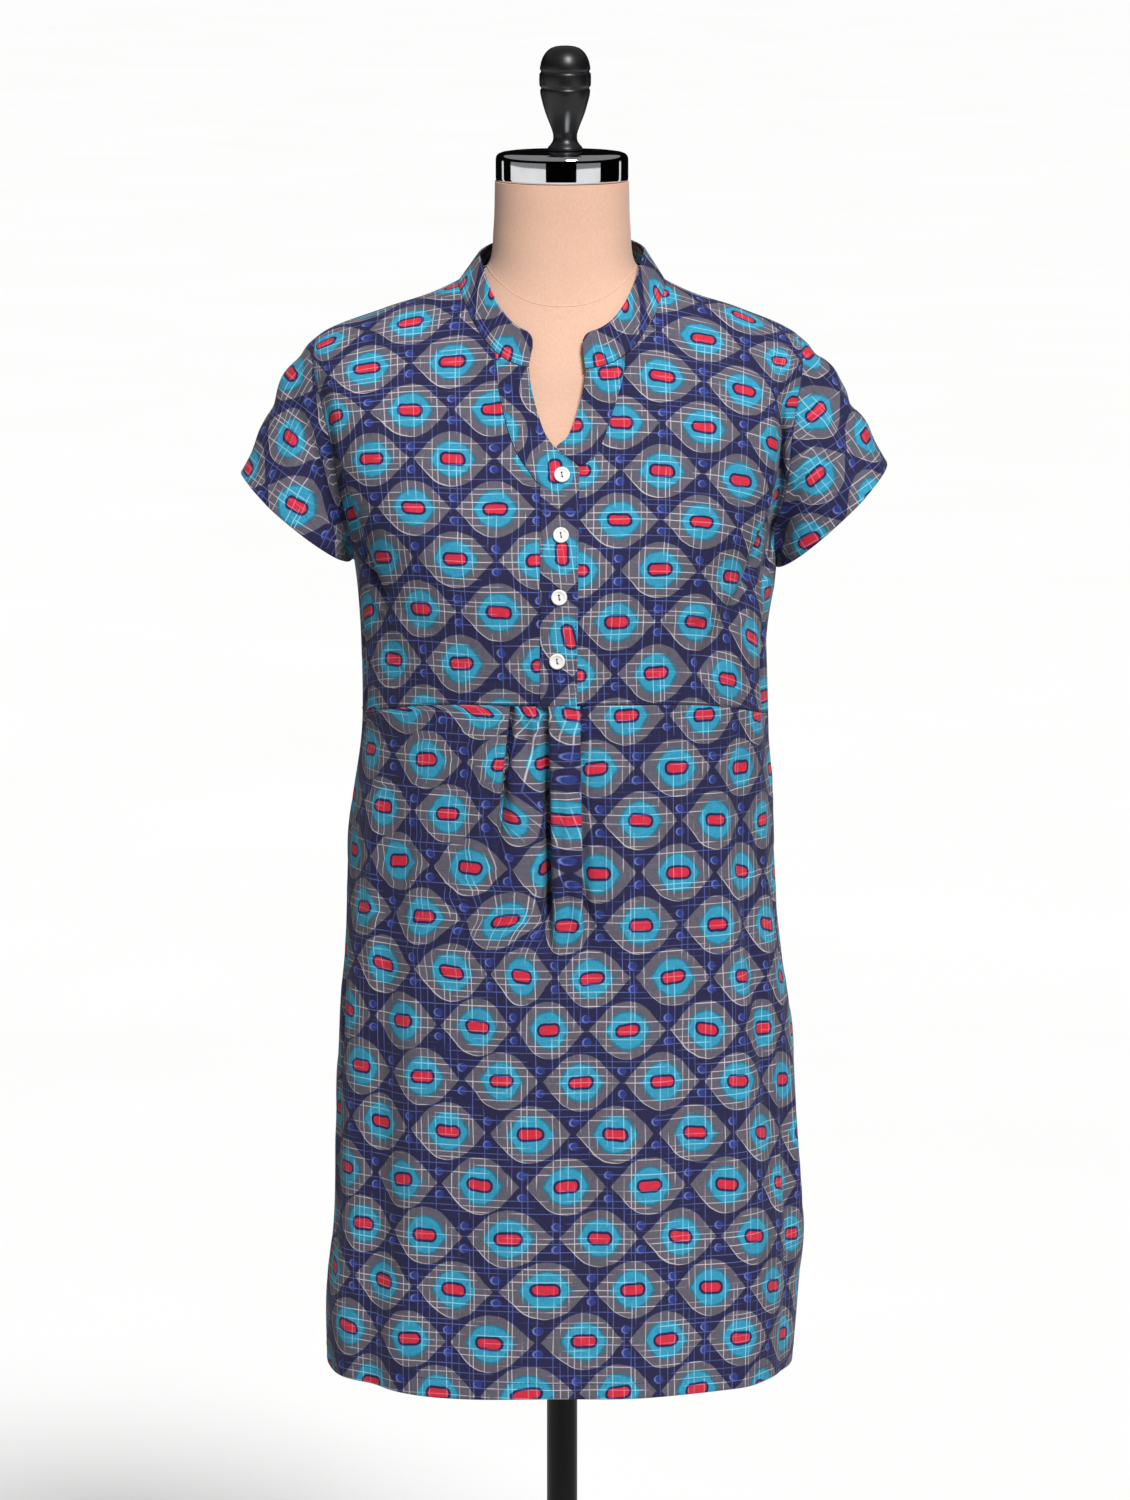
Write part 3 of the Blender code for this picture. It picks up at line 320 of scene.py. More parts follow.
def smooth_rows(table, place):
    """Read a table at fractional row numbers, on a smooth curve through its rows."""
    rows = np.array(table, dtype=float)
    rows = np.vstack((2 * rows[0] - rows[1], rows, 2 * rows[-1] - rows[-2]))
    place = np.clip(np.asarray(place, dtype=float), 0, len(rows) - 3)
    low = np.minimum(place.astype(int), len(rows) - 4)
    part = (place - low)[..., None]
    before, start, end, after = (rows[low + step] for step in range(4))
    leave = (end - before) / 2
    arrive = (after - start) / 2
    cubic = 2 * (start - end) + leave + arrive
    square = 3 * (end - start) - 2 * leave - arrive
    return ((cubic * part + square) * part + leave) * part + start


def section_point(sections, angle, row):
    """Point on a body given by its sections; the angle is 0 in front and 90 degrees at right."""
    angle, row = np.broadcast_arrays(np.asarray(angle, float), np.asarray(row, float))
    values = smooth_rows(list(sections.values()), row)
    named = {name: values[..., place] for place, name in enumerate(SECTION_COLUMNS)}
    across = np.sin(angle)
    along = np.cos(angle)
    width = np.where(across < 0, named["left_width"], named["right_width"])
    depth = np.where(along >= 0, -named["front_depth"], named["back_depth"])
    middle_z = np.where(along >= 0, named["front_z"], named["back_z"])
    x = width * np.sign(across) * np.abs(across) ** ROUNDNESS
    y = depth * np.abs(along) ** ROUNDNESS
    z = middle_z + (named["side_z"] - middle_z) * np.abs(across) ** named["rise"]
    return np.stack((x, y, z), axis=-1)


def unit(vectors):
    """Scale vectors to length one."""
    vectors = np.asarray(vectors, dtype=float)
    return vectors / np.maximum(np.linalg.norm(vectors, axis=-1, keepdims=True), 1e-12)


def outward(angle, row):
    """Direction straight out of the tunic."""
    step_angle = radians(1.5)
    step_row = 0.05
    round_body = (section_point(TUNIC_SECTIONS, angle + step_angle, row)
                  - section_point(TUNIC_SECTIONS, angle - step_angle, row))
    down = (section_point(TUNIC_SECTIONS, angle, row + step_row)
            - section_point(TUNIC_SECTIONS, angle, row - step_row))
    return unit(np.cross(down, round_body))


def crease_height(angle, height_above_floor):
    """How far the creases push the cloth out."""
    pushed = np.zeros(np.broadcast(angle, height_above_floor).shape)
    for crease in CREASES:
        line = np.array(crease.line, dtype=float)
        steps = np.linspace(0, len(line) - 1, 12 * (len(line) - 1) + 1)
        smooth = smooth_rows(line, steps)
        turned_to = (np.degrees(angle) - smooth[:, 0].mean() + 180) % 360 - 180
        turned_to = turned_to + smooth[:, 0].mean()
        share = np.clip(np.interp(-height_above_floor, -smooth[:, 1], steps / steps[-1]), 0, 1)
        centre = np.interp(-height_above_floor, -smooth[:, 1], smooth[:, 0])
        beyond = np.maximum(height_above_floor - smooth[0, 1], smooth[-1, 1] - height_above_floor)
        aside = (turned_to - centre) * GIRTH_PER_DEGREE
        tilt = np.abs(line[-1, 0] - line[0, 0]) * GIRTH_PER_DEGREE / (line[0, 1] - line[-1, 1])
        aside = aside / np.sqrt(1 + tilt ** 2)
        width = np.where(aside < 0, crease.left_width, crease.right_width)
        fade = np.sin(pi * np.clip(share, 0.02, 0.98)) ** 0.7
        ends = np.exp(-(np.maximum(beyond, 0) / CREASE_END) ** 2)
        pushed = pushed + crease.height * np.exp(-(aside / width) ** 2) * fade * ends
    return pushed


def fold_height(angle, row):
    """How far the soft folds push the cloth out of its plain form."""
    height = np.zeros(np.broadcast(angle, row).shape)
    for fold in FOLDS:
        along = np.clip((row - fold.top_row) / (fold.foot_row - fold.top_row), 0.0, 1.0)
        centre = fold.top_angle + (fold.foot_angle - fold.top_angle) * along
        away = (np.degrees(angle) - centre + 180.0) % 360.0 - 180.0
        shape = np.sin(pi * along) ** 0.8 * np.exp(-(away / fold.half_width) ** 2)
        height = height + fold.height * shape
    return height


# Deep narrow folds in front: the one between body and right sleeve, and the hollows beside two of
# the pleats. Half width, then the line downwards as x, z and how far back the fold goes there
DEEP_FOLDS = {
    "armhole_right": (0.0036, (
        (0.1700, 1.372, 0.000), (0.1715, 1.350, 0.003), (0.1730, 1.325, 0.007),
        (0.1738, 1.295, 0.011), (0.1738, 1.262, 0.019), (0.1665, 1.224, 0.025),
        (0.1615, 1.195, 0.020), (0.1590, 1.172, 0.000))),
    "left_pleat": (0.0016, (
        (-0.0391, 1.094, 0.004), (-0.0415, 1.070, 0.011), (-0.0451, 1.035, 0.011),
        (-0.0478, 1.008, 0.007), (-0.0502, 0.980, 0.000))),
    "box_pleat": (0.0024, (
        (-0.0138, 1.094, 0.003), (-0.0126, 1.030, 0.009), (-0.0115, 0.970, 0.011),
        (-0.0107, 0.930, 0.008), (-0.0102, 0.895, 0.000))),
}


def deep_folds(place):
    """How far back the deep folds take the cloth."""
    back = np.zeros(place.shape[:-1])
    for half_width, line in DEEP_FOLDS.values():
        line = np.array(line)
        within_line = (place[..., 2] < line[0, 1]) & (place[..., 2] > line[-1, 1])
        x = np.interp(-place[..., 2], -line[:, 1], line[:, 0])
        depth = np.interp(-place[..., 2], -line[:, 1], line[:, 2])
        depth = depth * within_line * (place[..., 1] < 0)
        back += depth * np.exp(-((place[..., 0] - x) / half_width) ** 2)
    return back


def cloth(angle, row, lift=0.0):
    """Point on the draped tunic, moved out by lift."""
    plain = section_point(TUNIC_SECTIONS, angle, row)
    pushed = fold_height(angle, row) + crease_height(angle, plain[..., 2]) + lift
    place = plain + outward(angle, row) * pushed[..., None]
    place[..., 1] += deep_folds(place)
    return place


def angle_at(x, row):
    """Angle of the point of a section that lies at x on the front."""
    values = smooth_rows(list(TUNIC_SECTIONS.values()), row)
    width = np.where(x < 0, values[..., 0], values[..., 1])
    share = np.clip(np.abs(x) / width, 0.0, 1.0) ** (1 / ROUNDNESS)
    return np.arcsin(share) * np.sign(x)


def front_z_at(row):
    """Height of a section at the middle of the front."""
    return smooth_rows(list(TUNIC_SECTIONS.values()), row)[..., SECTION_COLUMNS.index("front_z")]


def row_at(front_z):
    """Row whose middle of the front is at a height."""
    rows = np.linspace(0, HEM, 1401)
    return np.interp(-np.asarray(front_z), -front_z_at(rows), rows)


def neck_line(name, row):
    """One of the lines round the neck opening, as x, at the given rows."""
    fine = smooth_rows(NECK_LINES, np.linspace(0, len(NECK_LINES) - 1, 400))
    return np.interp(-front_z_at(row), -fine[:, 0], fine[:, NECK_COLUMNS.index(name)])


def armhole_share(row):
    """How deep the armhole cuts at a row, from 0 at its two ends to 1 in the middle."""
    middle = (SHOULDER_POINT + UNDERARM) / 2
    half = (UNDERARM - SHOULDER_POINT) / 2
    return np.sqrt(np.clip(1 - ((row - middle) / half) ** 2, 0.0, 1.0))


def armhole_rows():
    """Rows down an armhole, closer together at its two ends."""
    middle = (SHOULDER_POINT + UNDERARM) / 2
    half = (UNDERARM - SHOULDER_POINT) / 2
    return middle - half * np.cos(np.linspace(0, pi, ARMHOLE_STEPS + 1))


def between(start, end, share):
    """Grid of values from a start column to an end column."""
    return start[:, None] + (end - start)[:, None] * share[None, :]


def draw_in(points, edges):
    """Move the named edges of a grid in by half a seam's gap."""
    moved = points.copy()
    pairs = {"top": (np.s_[0], np.s_[1]), "foot": (np.s_[-1], np.s_[-2]),
             "start": (np.s_[:, 0], np.s_[:, 1]), "end": (np.s_[:, -1], np.s_[:, -2])}
    for edge in edges:
        outer, inner = pairs[edge]
        moved[outer] += unit(points[inner] - points[outer]) * GAP / 2
    return moved


def lay_flat(points, grain_column, grain=(0.0, 0.0, 1.0), level_shoulders=False):
    """Place of every point of a grid on the flat cloth: metres across and up the grain."""
    down = np.gradient(points, axis=0)
    across = np.gradient(points, axis=1)
    normal = unit(np.cross(down, across))
    grain = np.array(grain, dtype=float)
    up = unit(grain - normal * (normal @ grain)[..., None])
    weft = np.cross(up, normal)
    if level_shoulders:
        # On the shoulders the weft stays level with the floor, from side to side
        facing = np.sign(-normal[..., 1:2])
        level = np.array((1.0, 0.0, 0.0)) * facing
        level = unit(level - normal * np.sum(level * normal, axis=-1, keepdims=True))
        sloping = np.clip((normal[..., 2:3] - 0.25) / 0.3, 0, 1)
        sideways = np.clip((np.abs(normal[..., 0:1]) - 0.6) / 0.3, 0, 1)
        weft = unit(weft * (1 - sloping * (1 - sideways)) + level * sloping * (1 - sideways))
        up = np.cross(normal, weft)
    flat = np.zeros(points.shape[:2] + (2,))
    for place, way in enumerate((weft, up)):
        steps = np.sum(np.diff(points, axis=1) * (way[:, 1:] + way[:, :-1]) / 2, axis=-1)
        row = np.hstack((np.zeros((len(points), 1)), np.cumsum(steps, axis=1)))
        steps = np.sum(np.diff(points, axis=0) * (way[1:] + way[:-1]) / 2, axis=-1)
        column = np.concatenate(((0.0,), np.cumsum(steps[:, grain_column])))
        flat[..., place] = row - row[:, grain_column:grain_column + 1] + column[:, None]
    return flat


def nearest(points, x, z):
    """Place in a grid of the point that shows at x and z, from the side that the grid faces."""
    away = (points[..., 0] - x) ** 2 + (points[..., 2] - z) ** 2
    return np.unravel_index(np.argmin(away), away.shape)


def cloth_piece(name, points, flat, material, wall=WALL, closed=False, rounded=0.0, prints=None):
    """Cut piece of cloth: a grid of points on its middle, its flat map, and a wall's thickness.

    The print's two interleaved grids lie on the flat map, or on two maps of their own."""
    rows, columns = points.shape[:2]
    wide = columns if closed else columns - 1
    row, column = np.meshgrid(np.arange(rows - 1), np.arange(wide), indexing="ij")
    row, column = row.ravel(), column.ravel()
    beside = (column + 1) % columns
    faces = np.stack((row * columns + column, (row + 1) * columns + column,
                      (row + 1) * columns + beside, row * columns + beside), axis=1)
    mesh = bpy.data.meshes.new(name + "_cloth")
    mesh.from_pydata(points.reshape(-1, 3).tolist(), [], faces.tolist())
    maps = (flat,) + (prints or (flat, flat))
    for title, flat in zip(("cloth", "print", "print_between"), maps):
        corners = np.stack((flat[row, column], flat[row + 1, column],
                            flat[row + 1, column + 1], flat[row, column + 1]), axis=1)
        layer = mesh.uv_layers.new(name=title)
        layer.data.foreach_set("uv", corners.ravel())
    mesh.shade_smooth()
    thing = bpy.data.objects.new(name + "_cloth", mesh)
    scene.collection.objects.link(thing)
    shell = thing.modifiers.new("wall", "SOLIDIFY")
    shell.thickness = wall
    shell.offset = 0.0
    if rounded:
        edge = thing.modifiers.new("edge", "BEVEL")
        edge.width = rounded
        edge.segments = 2
        edge.limit_method = "ANGLE"
        edge.angle_limit = radians(50)
    mesh.materials.append(material)
    return thing


# The cloth's print, charted in millimetres: a half-drop repeat of a grey pointed oval with a teal
# one in it and a red bar in a dark outline, on navy, with small blue spots between.
REPEAT_WIDE = 66.0
REPEAT_HIGH = 84.0          # of one of the two interleaved grids
GREY_ROUND, GREY_TIP = 23.2, 31.0
TEAL_ROUND, TEAL_TIP = 16.2, 18.6
BAR_HALF = (10.5, 5.8)
BAR_CORNER = 5.4
BAR_OUTLINE = 2.1
SPOT_HALF = (3.7, 3.2)
SPOT_RISE = 9.4             # of a spot above or below the line between two ovals
PRINT = {"navy": "1E1C40", "grey": "5A5662", "cream": "C3BAB8", "teal": "2E90B0",
         "teal_edge": "1E6880", "outline": "1B1848", "red": "C9263C", "spot": "24347A",
         "spot_edge": "6F7AC0"}
THREAD = {"navy": "5C6AAE", "grey": "D6CDD4", "teal": "9FDDEE", "outline": "6068AE",
          "red": "E8808C"}
SLUB_CELL = 6.2             # threads can lie this far apart, in mm
SLUB_HALF = 0.31            # half width of a thick thread
SLUB_SHARE = 0.90           # of the threads that are thick
SLUB_WANDER = 2.6           # how far a thread strays from its straight line, in mm
HAND_DRAWN = 2.8            # how far the blocks' edges stray, in mm
INK_LIGHT, INK_DARK = 1.28, 0.74    # of a colour where the ink lies thin and where it lies thick


def repeat_place(tree, points, shift):
    """Place in the nearest of two interleaved grids of repeats, and a number for that repeat."""
    grids = []
    for half, point in zip((0.5, 0.0), points):
        cell = add_node(tree, "ShaderNodeVectorMath", {0: point, 1: shift}, operation="ADD")
        cell = add_node(tree, "ShaderNodeVectorMath",
                        {0: cell, 1: (REPEAT_WIDE, REPEAT_HIGH, 1.0)}, operation="DIVIDE")
        moved = add_node(tree, "ShaderNodeVectorMath", {0: cell, 1: (half, half, 0.5)},
                         operation="ADD")
        number = add_node(tree, "ShaderNodeVectorMath", {0: moved}, operation="FLOOR")
        number = add_node(tree, "ShaderNodeVectorMath", {0: number, 1: (half, half, half)},
                          operation="ADD")
        inside = add_node(tree, "ShaderNodeVectorMath", {0: moved}, operation="FRACTION")
        inside = add_node(tree, "ShaderNodeVectorMath", {0: inside, 1: (0.5, 0.5, 0.5)},
                          operation="SUBTRACT")
        inside = add_node(tree, "ShaderNodeVectorMath",
                          {0: inside, 1: (REPEAT_WIDE, REPEAT_HIGH, 0.0)}, operation="MULTIPLY")
        away = add_node(tree, "ShaderNodeVectorMath", {0: inside}, operation="LENGTH")
        grids.append((inside, number, away.outputs["Value"]))
    (first, first_number, first_away), (second, second_number, second_away) = grids
    near = add_node(tree, "ShaderNodeMath", {0: second_away, 1: first_away},
                    operation="LESS_THAN")
    place = add_node(tree, "ShaderNodeMix", {0: near, 4: first, 5: second}, data_type="VECTOR")
    number = add_node(tree, "ShaderNodeMix", {0: near, 4: first_number, 5: second_number},
                      data_type="VECTOR")
    return place.outputs[1], number.outputs[1]


def oval_edge(tree, folded, round_part, tip):
    """Signed distance from the edge of a circle drawn out to a point at its two sides."""
    lean = round_part / tip
    upright = (1 - lean ** 2) ** 0.5
    straight = add_node(tree, "ShaderNodeVectorMath", {0: folded, 1: (lean, upright, 0.0)},
                        operation="DOT_PRODUCT")
    straight = add_node(tree, "ShaderNodeMath", {0: straight.outputs["Value"], 1: round_part},
                        operation="SUBTRACT")
    curved = add_node(tree, "ShaderNodeVectorMath", {0: folded}, operation="LENGTH")
    curved = add_node(tree, "ShaderNodeMath", {0: curved.outputs["Value"], 1: round_part},
                      operation="SUBTRACT")
    side = add_node(tree, "ShaderNodeVectorMath", {0: folded, 1: (-upright, lean, 0.0)},
                    operation="DOT_PRODUCT")
    side = add_node(tree, "ShaderNodeMath", {0: side.outputs["Value"], 1: 0.0},
                    operation="LESS_THAN")
    return add_node(tree, "ShaderNodeMix", {0: side, 2: curved, 3: straight}, data_type="FLOAT")


def within(tree, distance, edge=0.0, soft=0.35):
    """1 where a signed distance is below an edge, with a narrow soft step."""
    return add_node(tree, "ShaderNodeMapRange", {0: distance, 1: edge + soft, 2: edge - soft,
                                                 3: 0.0, 4: 1.0})


def slub_threads(tree, across, along, seed):
    """1 on thick threads that run one way through the cloth and come and go."""
    wander = add_node(tree, "ShaderNodeMath", {0: along, 1: 0.018}, operation="MULTIPLY")
    wander = add_node(tree, "ShaderNodeTexNoise", {"W": wander, "Scale": 1.0, "Detail": 0.0},
                      noise_dimensions="1D")
    across = add_node(tree, "ShaderNodeMath", {0: wander, 1: SLUB_WANDER, 2: across},
                      operation="MULTIPLY_ADD")
    cell = add_node(tree, "ShaderNodeMath", {0: across, 1: SLUB_CELL}, operation="DIVIDE")
    number = add_node(tree, "ShaderNodeMath", {0: cell}, operation="FLOOR")
    number = add_node(tree, "ShaderNodeMath", {0: number, 1: seed}, operation="ADD")
    drawn = add_node(tree, "ShaderNodeTexWhiteNoise", {"W": number}, noise_dimensions="1D")
    thick = add_node(tree, "ShaderNodeMath", {0: drawn, 1: SLUB_SHARE}, operation="LESS_THAN")
    aside = add_node(tree, "ShaderNodeMapRange", {0: drawn, 1: 0.0, 2: SLUB_SHARE, 3: 0.22,
                                                  4: 0.78})
    inside = add_node(tree, "ShaderNodeMath", {0: cell}, operation="FRACT")
    inside = add_node(tree, "ShaderNodeMath", {0: inside, 1: aside}, operation="SUBTRACT")
    inside = add_node(tree, "ShaderNodeMath", {0: inside}, operation="ABSOLUTE")
    inside = within(tree, inside, SLUB_HALF / SLUB_CELL, 0.035)
    broken = add_node(tree, "ShaderNodeCombineXYZ", {0: along, 1: number})
    broken = add_node(tree, "ShaderNodeVectorMath", {0: broken, 1: (0.021, 7.3, 0.0)},
                      operation="MULTIPLY")
    broken = add_node(tree, "ShaderNodeTexNoise", {"Vector": broken, "Scale": 1.0,
                                                   "Detail": 1.5}, noise_dimensions="2D")
    broken = add_node(tree, "ShaderNodeMapRange", {0: broken, 1: 0.40, 2: 0.50, 3: 0.0, 4: 1.0})
    strong = add_node(tree, "ShaderNodeMapRange", {0: drawn.outputs["Color"], 1: 0.0, 2: 1.0,
                                                   3: 0.55, 4: 1.20})
    thick = add_node(tree, "ShaderNodeMath", {0: thick, 1: strong}, operation="MULTIPLY")
    mask = add_node(tree, "ShaderNodeMath", {0: thick, 1: inside}, operation="MULTIPLY")
    return add_node(tree, "ShaderNodeMath", {0: mask, 1: broken}, operation="MULTIPLY")


# Plain-woven slub cotton, block-printed in navy, grey, teal and red. The thick uneven threads of
# the slub take the print badly and show as pale broken lines both ways. Matt, with a little fuzz.
# The weave itself, about 0.4 mm, is drawn twice as coarse so that it shows.
printed_cotton, tree, shader = new_material("printed_slub_cotton", 0.86, Sheen_Weight=0.06,
                                            Sheen_Roughness=0.45, Specular_IOR_Level=0.28)
maps = []
for title in ("cloth", "print", "print_between"):
    place = add_node(tree, "ShaderNodeUVMap", uv_map=title)
    maps.append(add_node(tree, "ShaderNodeVectorMath", {0: place, "Scale": 1000.0},
                         operation="SCALE"))
point = maps[0]
hand_drawn = add_node(tree, "ShaderNodeTexNoise", {"Vector": point, "Scale": 0.075,
                                                   "Detail": 2.5, "Roughness": 0.5})
hand_drawn = add_node(tree, "ShaderNodeVectorMath", {0: hand_drawn.outputs["Color"],
                                                     1: (0.5, 0.5, 0.5)}, operation="SUBTRACT")
hand_drawn = add_node(tree, "ShaderNodeVectorMath",
                      {0: hand_drawn, 1: (HAND_DRAWN, HAND_DRAWN, 0.0)}, operation="MULTIPLY")
printed = [add_node(tree, "ShaderNodeVectorMath", {0: place, 1: hand_drawn}, operation="ADD")
           for place in maps[1:]]
place, number = repeat_place(tree, printed, (0.0, 0.0, 0.0))
varied = add_node(tree, "ShaderNodeTexWhiteNoise", {"Vector": number}, noise_dimensions="3D")
folded = add_node(tree, "ShaderNodeVectorMath", {0: place}, operation="ABSOLUTE")
grey_edge = oval_edge(tree, folded, GREY_ROUND, GREY_TIP)
teal_edge = oval_edge(tree, folded, TEAL_ROUND, TEAL_TIP)
grey_mask = within(tree, grey_edge)
teal_mask = within(tree, teal_edge)
teal_core = within(tree, teal_edge, -1.6, 0.9)
# The bar leans a little to one side or the other
axes = add_node(tree, "ShaderNodeSeparateXYZ", {0: place})
lean = add_node(tree, "ShaderNodeMapRange", {0: varied, 1: 0.0, 2: 1.0, 3: -0.12, 4: 0.12})
bar_up = add_node(tree, "ShaderNodeMath", {0: axes.outputs[0], 1: lean, 2: axes.outputs[1]},
                  operation="MULTIPLY_ADD")
bar = add_node(tree, "ShaderNodeCombineXYZ", {0: axes.outputs[0], 1: bar_up})
bar = add_node(tree, "ShaderNodeVectorMath", {0: bar}, operation="ABSOLUTE")
bar = add_node(tree, "ShaderNodeVectorMath",
               {0: bar, 1: (BAR_HALF[0] - BAR_CORNER, BAR_HALF[1] - BAR_CORNER, 0.0)},
               operation="SUBTRACT")
bar = add_node(tree, "ShaderNodeVectorMath", {0: bar, 1: (0.0, 0.0, 0.0)}, operation="MAXIMUM")
bar = add_node(tree, "ShaderNodeVectorMath", {0: bar}, operation="LENGTH")
outline_mask = within(tree, bar.outputs["Value"], BAR_CORNER)
red_mask = within(tree, bar.outputs["Value"], BAR_CORNER - BAR_OUTLINE)
# A thin line of bare cloth along the lower left edge, where the blocks don't quite meet
way = add_node(tree, "ShaderNodeVectorMath", {0: place}, operation="NORMALIZE")
way = add_node(tree, "ShaderNodeVectorMath", {0: way, 1: (-0.62, -0.78, 0.0)},
               operation="DOT_PRODUCT")
bare = add_node(tree, "ShaderNodeMapRange", {0: way.outputs["Value"], 1: 0.25, 2: 0.95,
                                             3: -0.35, 4: 0.62})
patchy = add_node(tree, "ShaderNodeMath", {0: varied, 1: 0.45, 2: bare},
                  operation="MULTIPLY_ADD")
patchy = add_node(tree, "ShaderNodeMath", {0: patchy, 1: 0.45}, operation="SUBTRACT")
near_edge = add_node(tree, "ShaderNodeMath", {0: grey_edge}, operation="ABSOLUTE")
bare = add_node(tree, "ShaderNodeMath", {0: patchy, 1: near_edge}, operation="SUBTRACT")
bare = add_node(tree, "ShaderNodeMapRange", {0: bare, 1: -0.15, 2: 0.25, 3: 0.0, 4: 0.85})
# Blue spots between the ovals, each with a pale edge on its left
spot_place = repeat_place(tree, printed, (REPEAT_WIDE / 2, 0.0, 0.0))[0]
spot_axes = add_node(tree, "ShaderNodeSeparateXYZ", {0: spot_place})
spot_up = add_node(tree, "ShaderNodeMath", {0: spot_axes.outputs[1]}, operation="ABSOLUTE")
spot_up = add_node(tree, "ShaderNodeMath", {0: spot_up, 1: SPOT_RISE}, operation="SUBTRACT")
spot = add_node(tree, "ShaderNodeCombineXYZ", {0: spot_axes.outputs[0], 1: spot_up})
spot = add_node(tree, "ShaderNodeVectorMath", {0: spot, 1: SPOT_HALF + (1.0,)},
                operation="DIVIDE")
spot_inner = add_node(tree, "ShaderNodeVectorMath", {0: spot, 1: (0.30, 0.06, 0.0)},
                      operation="SUBTRACT")
spot = add_node(tree, "ShaderNodeVectorMath", {0: spot}, operation="LENGTH")
spot_inner = add_node(tree, "ShaderNodeVectorMath", {0: spot_inner}, operation="LENGTH")
spot_mask = within(tree, spot.outputs["Value"], 1.0, 0.12)
spot_core = within(tree, spot_inner.outputs["Value"], 1.0, 0.14)
# Uneven ink
ink = add_node(tree, "ShaderNodeTexNoise", {"Vector": point, "Scale": 0.22, "Detail": 4.0,
                                            "Roughness": 0.7})
colour = {}
for name, shade in PRINT.items():
    light = [min(1.0, v * INK_LIGHT + 0.004) for v in srgb(shade)[:3]] + [1.0]
    dark = [v * INK_DARK for v in srgb(shade)[:3]] + [1.0]
    colour[name] = add_node(tree, "ShaderNodeMix", {0: ink, 6: dark, 7: light},
                            data_type="RGBA").outputs[2]
teal_inked = add_node(tree, "ShaderNodeMix", {0: teal_core, 6: colour["teal_edge"],
                                              7: colour["teal"]}, data_type="RGBA").outputs[2]
spot_inked = add_node(tree, "ShaderNodeMix", {0: spot_core, 6: colour["spot_edge"],
                                              7: colour["spot"]}, data_type="RGBA").outputs[2]
inked, threads = colour["navy"], srgb(THREAD["navy"])
for mask, layer, thread in ((spot_mask, spot_inked, THREAD["navy"]),
                            (grey_mask, colour["grey"], THREAD["grey"]),
                            (bare, colour["cream"], THREAD["grey"]),
                            (teal_mask, teal_inked, THREAD["teal"]),
                            (outline_mask, colour["outline"], THREAD["outline"]),
                            (red_mask, colour["red"], THREAD["red"])):
    inked = add_node(tree, "ShaderNodeMix", {0: mask, 6: inked, 7: layer},
                     data_type="RGBA").outputs[2]
    threads = add_node(tree, "ShaderNodeMix", {0: mask, 6: threads, 7: srgb(thread)},
                       data_type="RGBA").outputs[2]
spread = add_node(tree, "ShaderNodeSeparateXYZ", {0: point})
upright_threads = slub_threads(tree, spread.outputs[0], spread.outputs[1], 3.0)
level_threads = slub_threads(tree, spread.outputs[1], spread.outputs[0], 211.0)
slub = add_node(tree, "ShaderNodeMath", {0: upright_threads, 1: level_threads},
                operation="MAXIMUM")
shown = add_node(tree, "ShaderNodeMath", {0: slub, 1: 0.85}, operation="MULTIPLY")
inked = add_node(tree, "ShaderNodeMix", {0: shown, 6: inked, 7: threads},
                 data_type="RGBA").outputs[2]
# The weave: light and dark flecks drawn out along both threads
flecks = []
for stretch in ((1.15, 0.16, 1.0), (0.16, 1.15, 1.0)):
    fleck = add_node(tree, "ShaderNodeVectorMath", {0: point, 1: stretch}, operation="MULTIPLY")
    flecks.append(add_node(tree, "ShaderNodeTexNoise", {"Vector": fleck, "Scale": 1.0,
                                                        "Detail": 2.0}))
weave = add_node(tree, "ShaderNodeMath", {0: flecks[0], 1: flecks[1]}, operation="ADD")
tone = add_node(tree, "ShaderNodeMapRange", {0: weave, 1: 0.7, 2: 1.3, 3: 0.84, 4: 1.16})
toned = add_node(tree, "ShaderNodeVectorMath", {0: inked, "Scale": tone}, operation="SCALE")
tree.links.new(toned.outputs[0], shader.inputs["Base Color"])
relief = add_node(tree, "ShaderNodeMath", {0: slub, 1: 0.6, 2: weave}, operation="MULTIPLY_ADD")
bump = add_node(tree, "ShaderNodeBump", {"Strength": 0.35, "Distance": 0.0004,
                                         "Height": relief})
tree.links.new(bump.outputs[0], shader.inputs["Normal"])

# Rows that every panel of the body shares, so that their walls meet point to point at the seams
UPPER_ROWS = np.concatenate((np.linspace(0, SHOULDER_POINT, 43)[:-1], armhole_rows(),
                             np.linspace(UNDERARM, YOKE_SEAM, 32)[1:]))
# The print's rows droop and lean a little towards the armholes, where the cloth is pulled: in mm
YOKE_DRIFT = {
    # name: lean at the seam and 250 mm above it, droop 250 mm above it, where the droop towards the
    # armhole starts and how fast it grows
    "front_yoke_left": (-1.5, -10.0, -8.0, -40.0, 0.0022),
    "front_yoke_right": (1.0, 6.0, -14.0, 0.0, 0.0022),
}


def yoke_drift(name, flat):
    """Flat map of a yoke with the lean and droop of its print taken out."""
    lean_low, lean_high, droop, start, growth = YOKE_DRIFT[name]
    across, up = flat[..., 0] * 1e3, flat[..., 1] * 1e3
    side = -1 if start < 0 else 1
    beyond = np.clip(side * (across - start), 0, 120)
    moved_across = np.interp(up, (0, 80, 250), (lean_low, (lean_low + lean_high) / 2, lean_high))
    moved_up = droop * np.clip(up / 250, 0, 1.2) ** 2 - growth * beyond ** 2
    moved_across = moved_across + side * 0.0012 * beyond ** 2 * (side < 0)
    return flat - np.stack((moved_across, moved_up), axis=-1) / 1e3


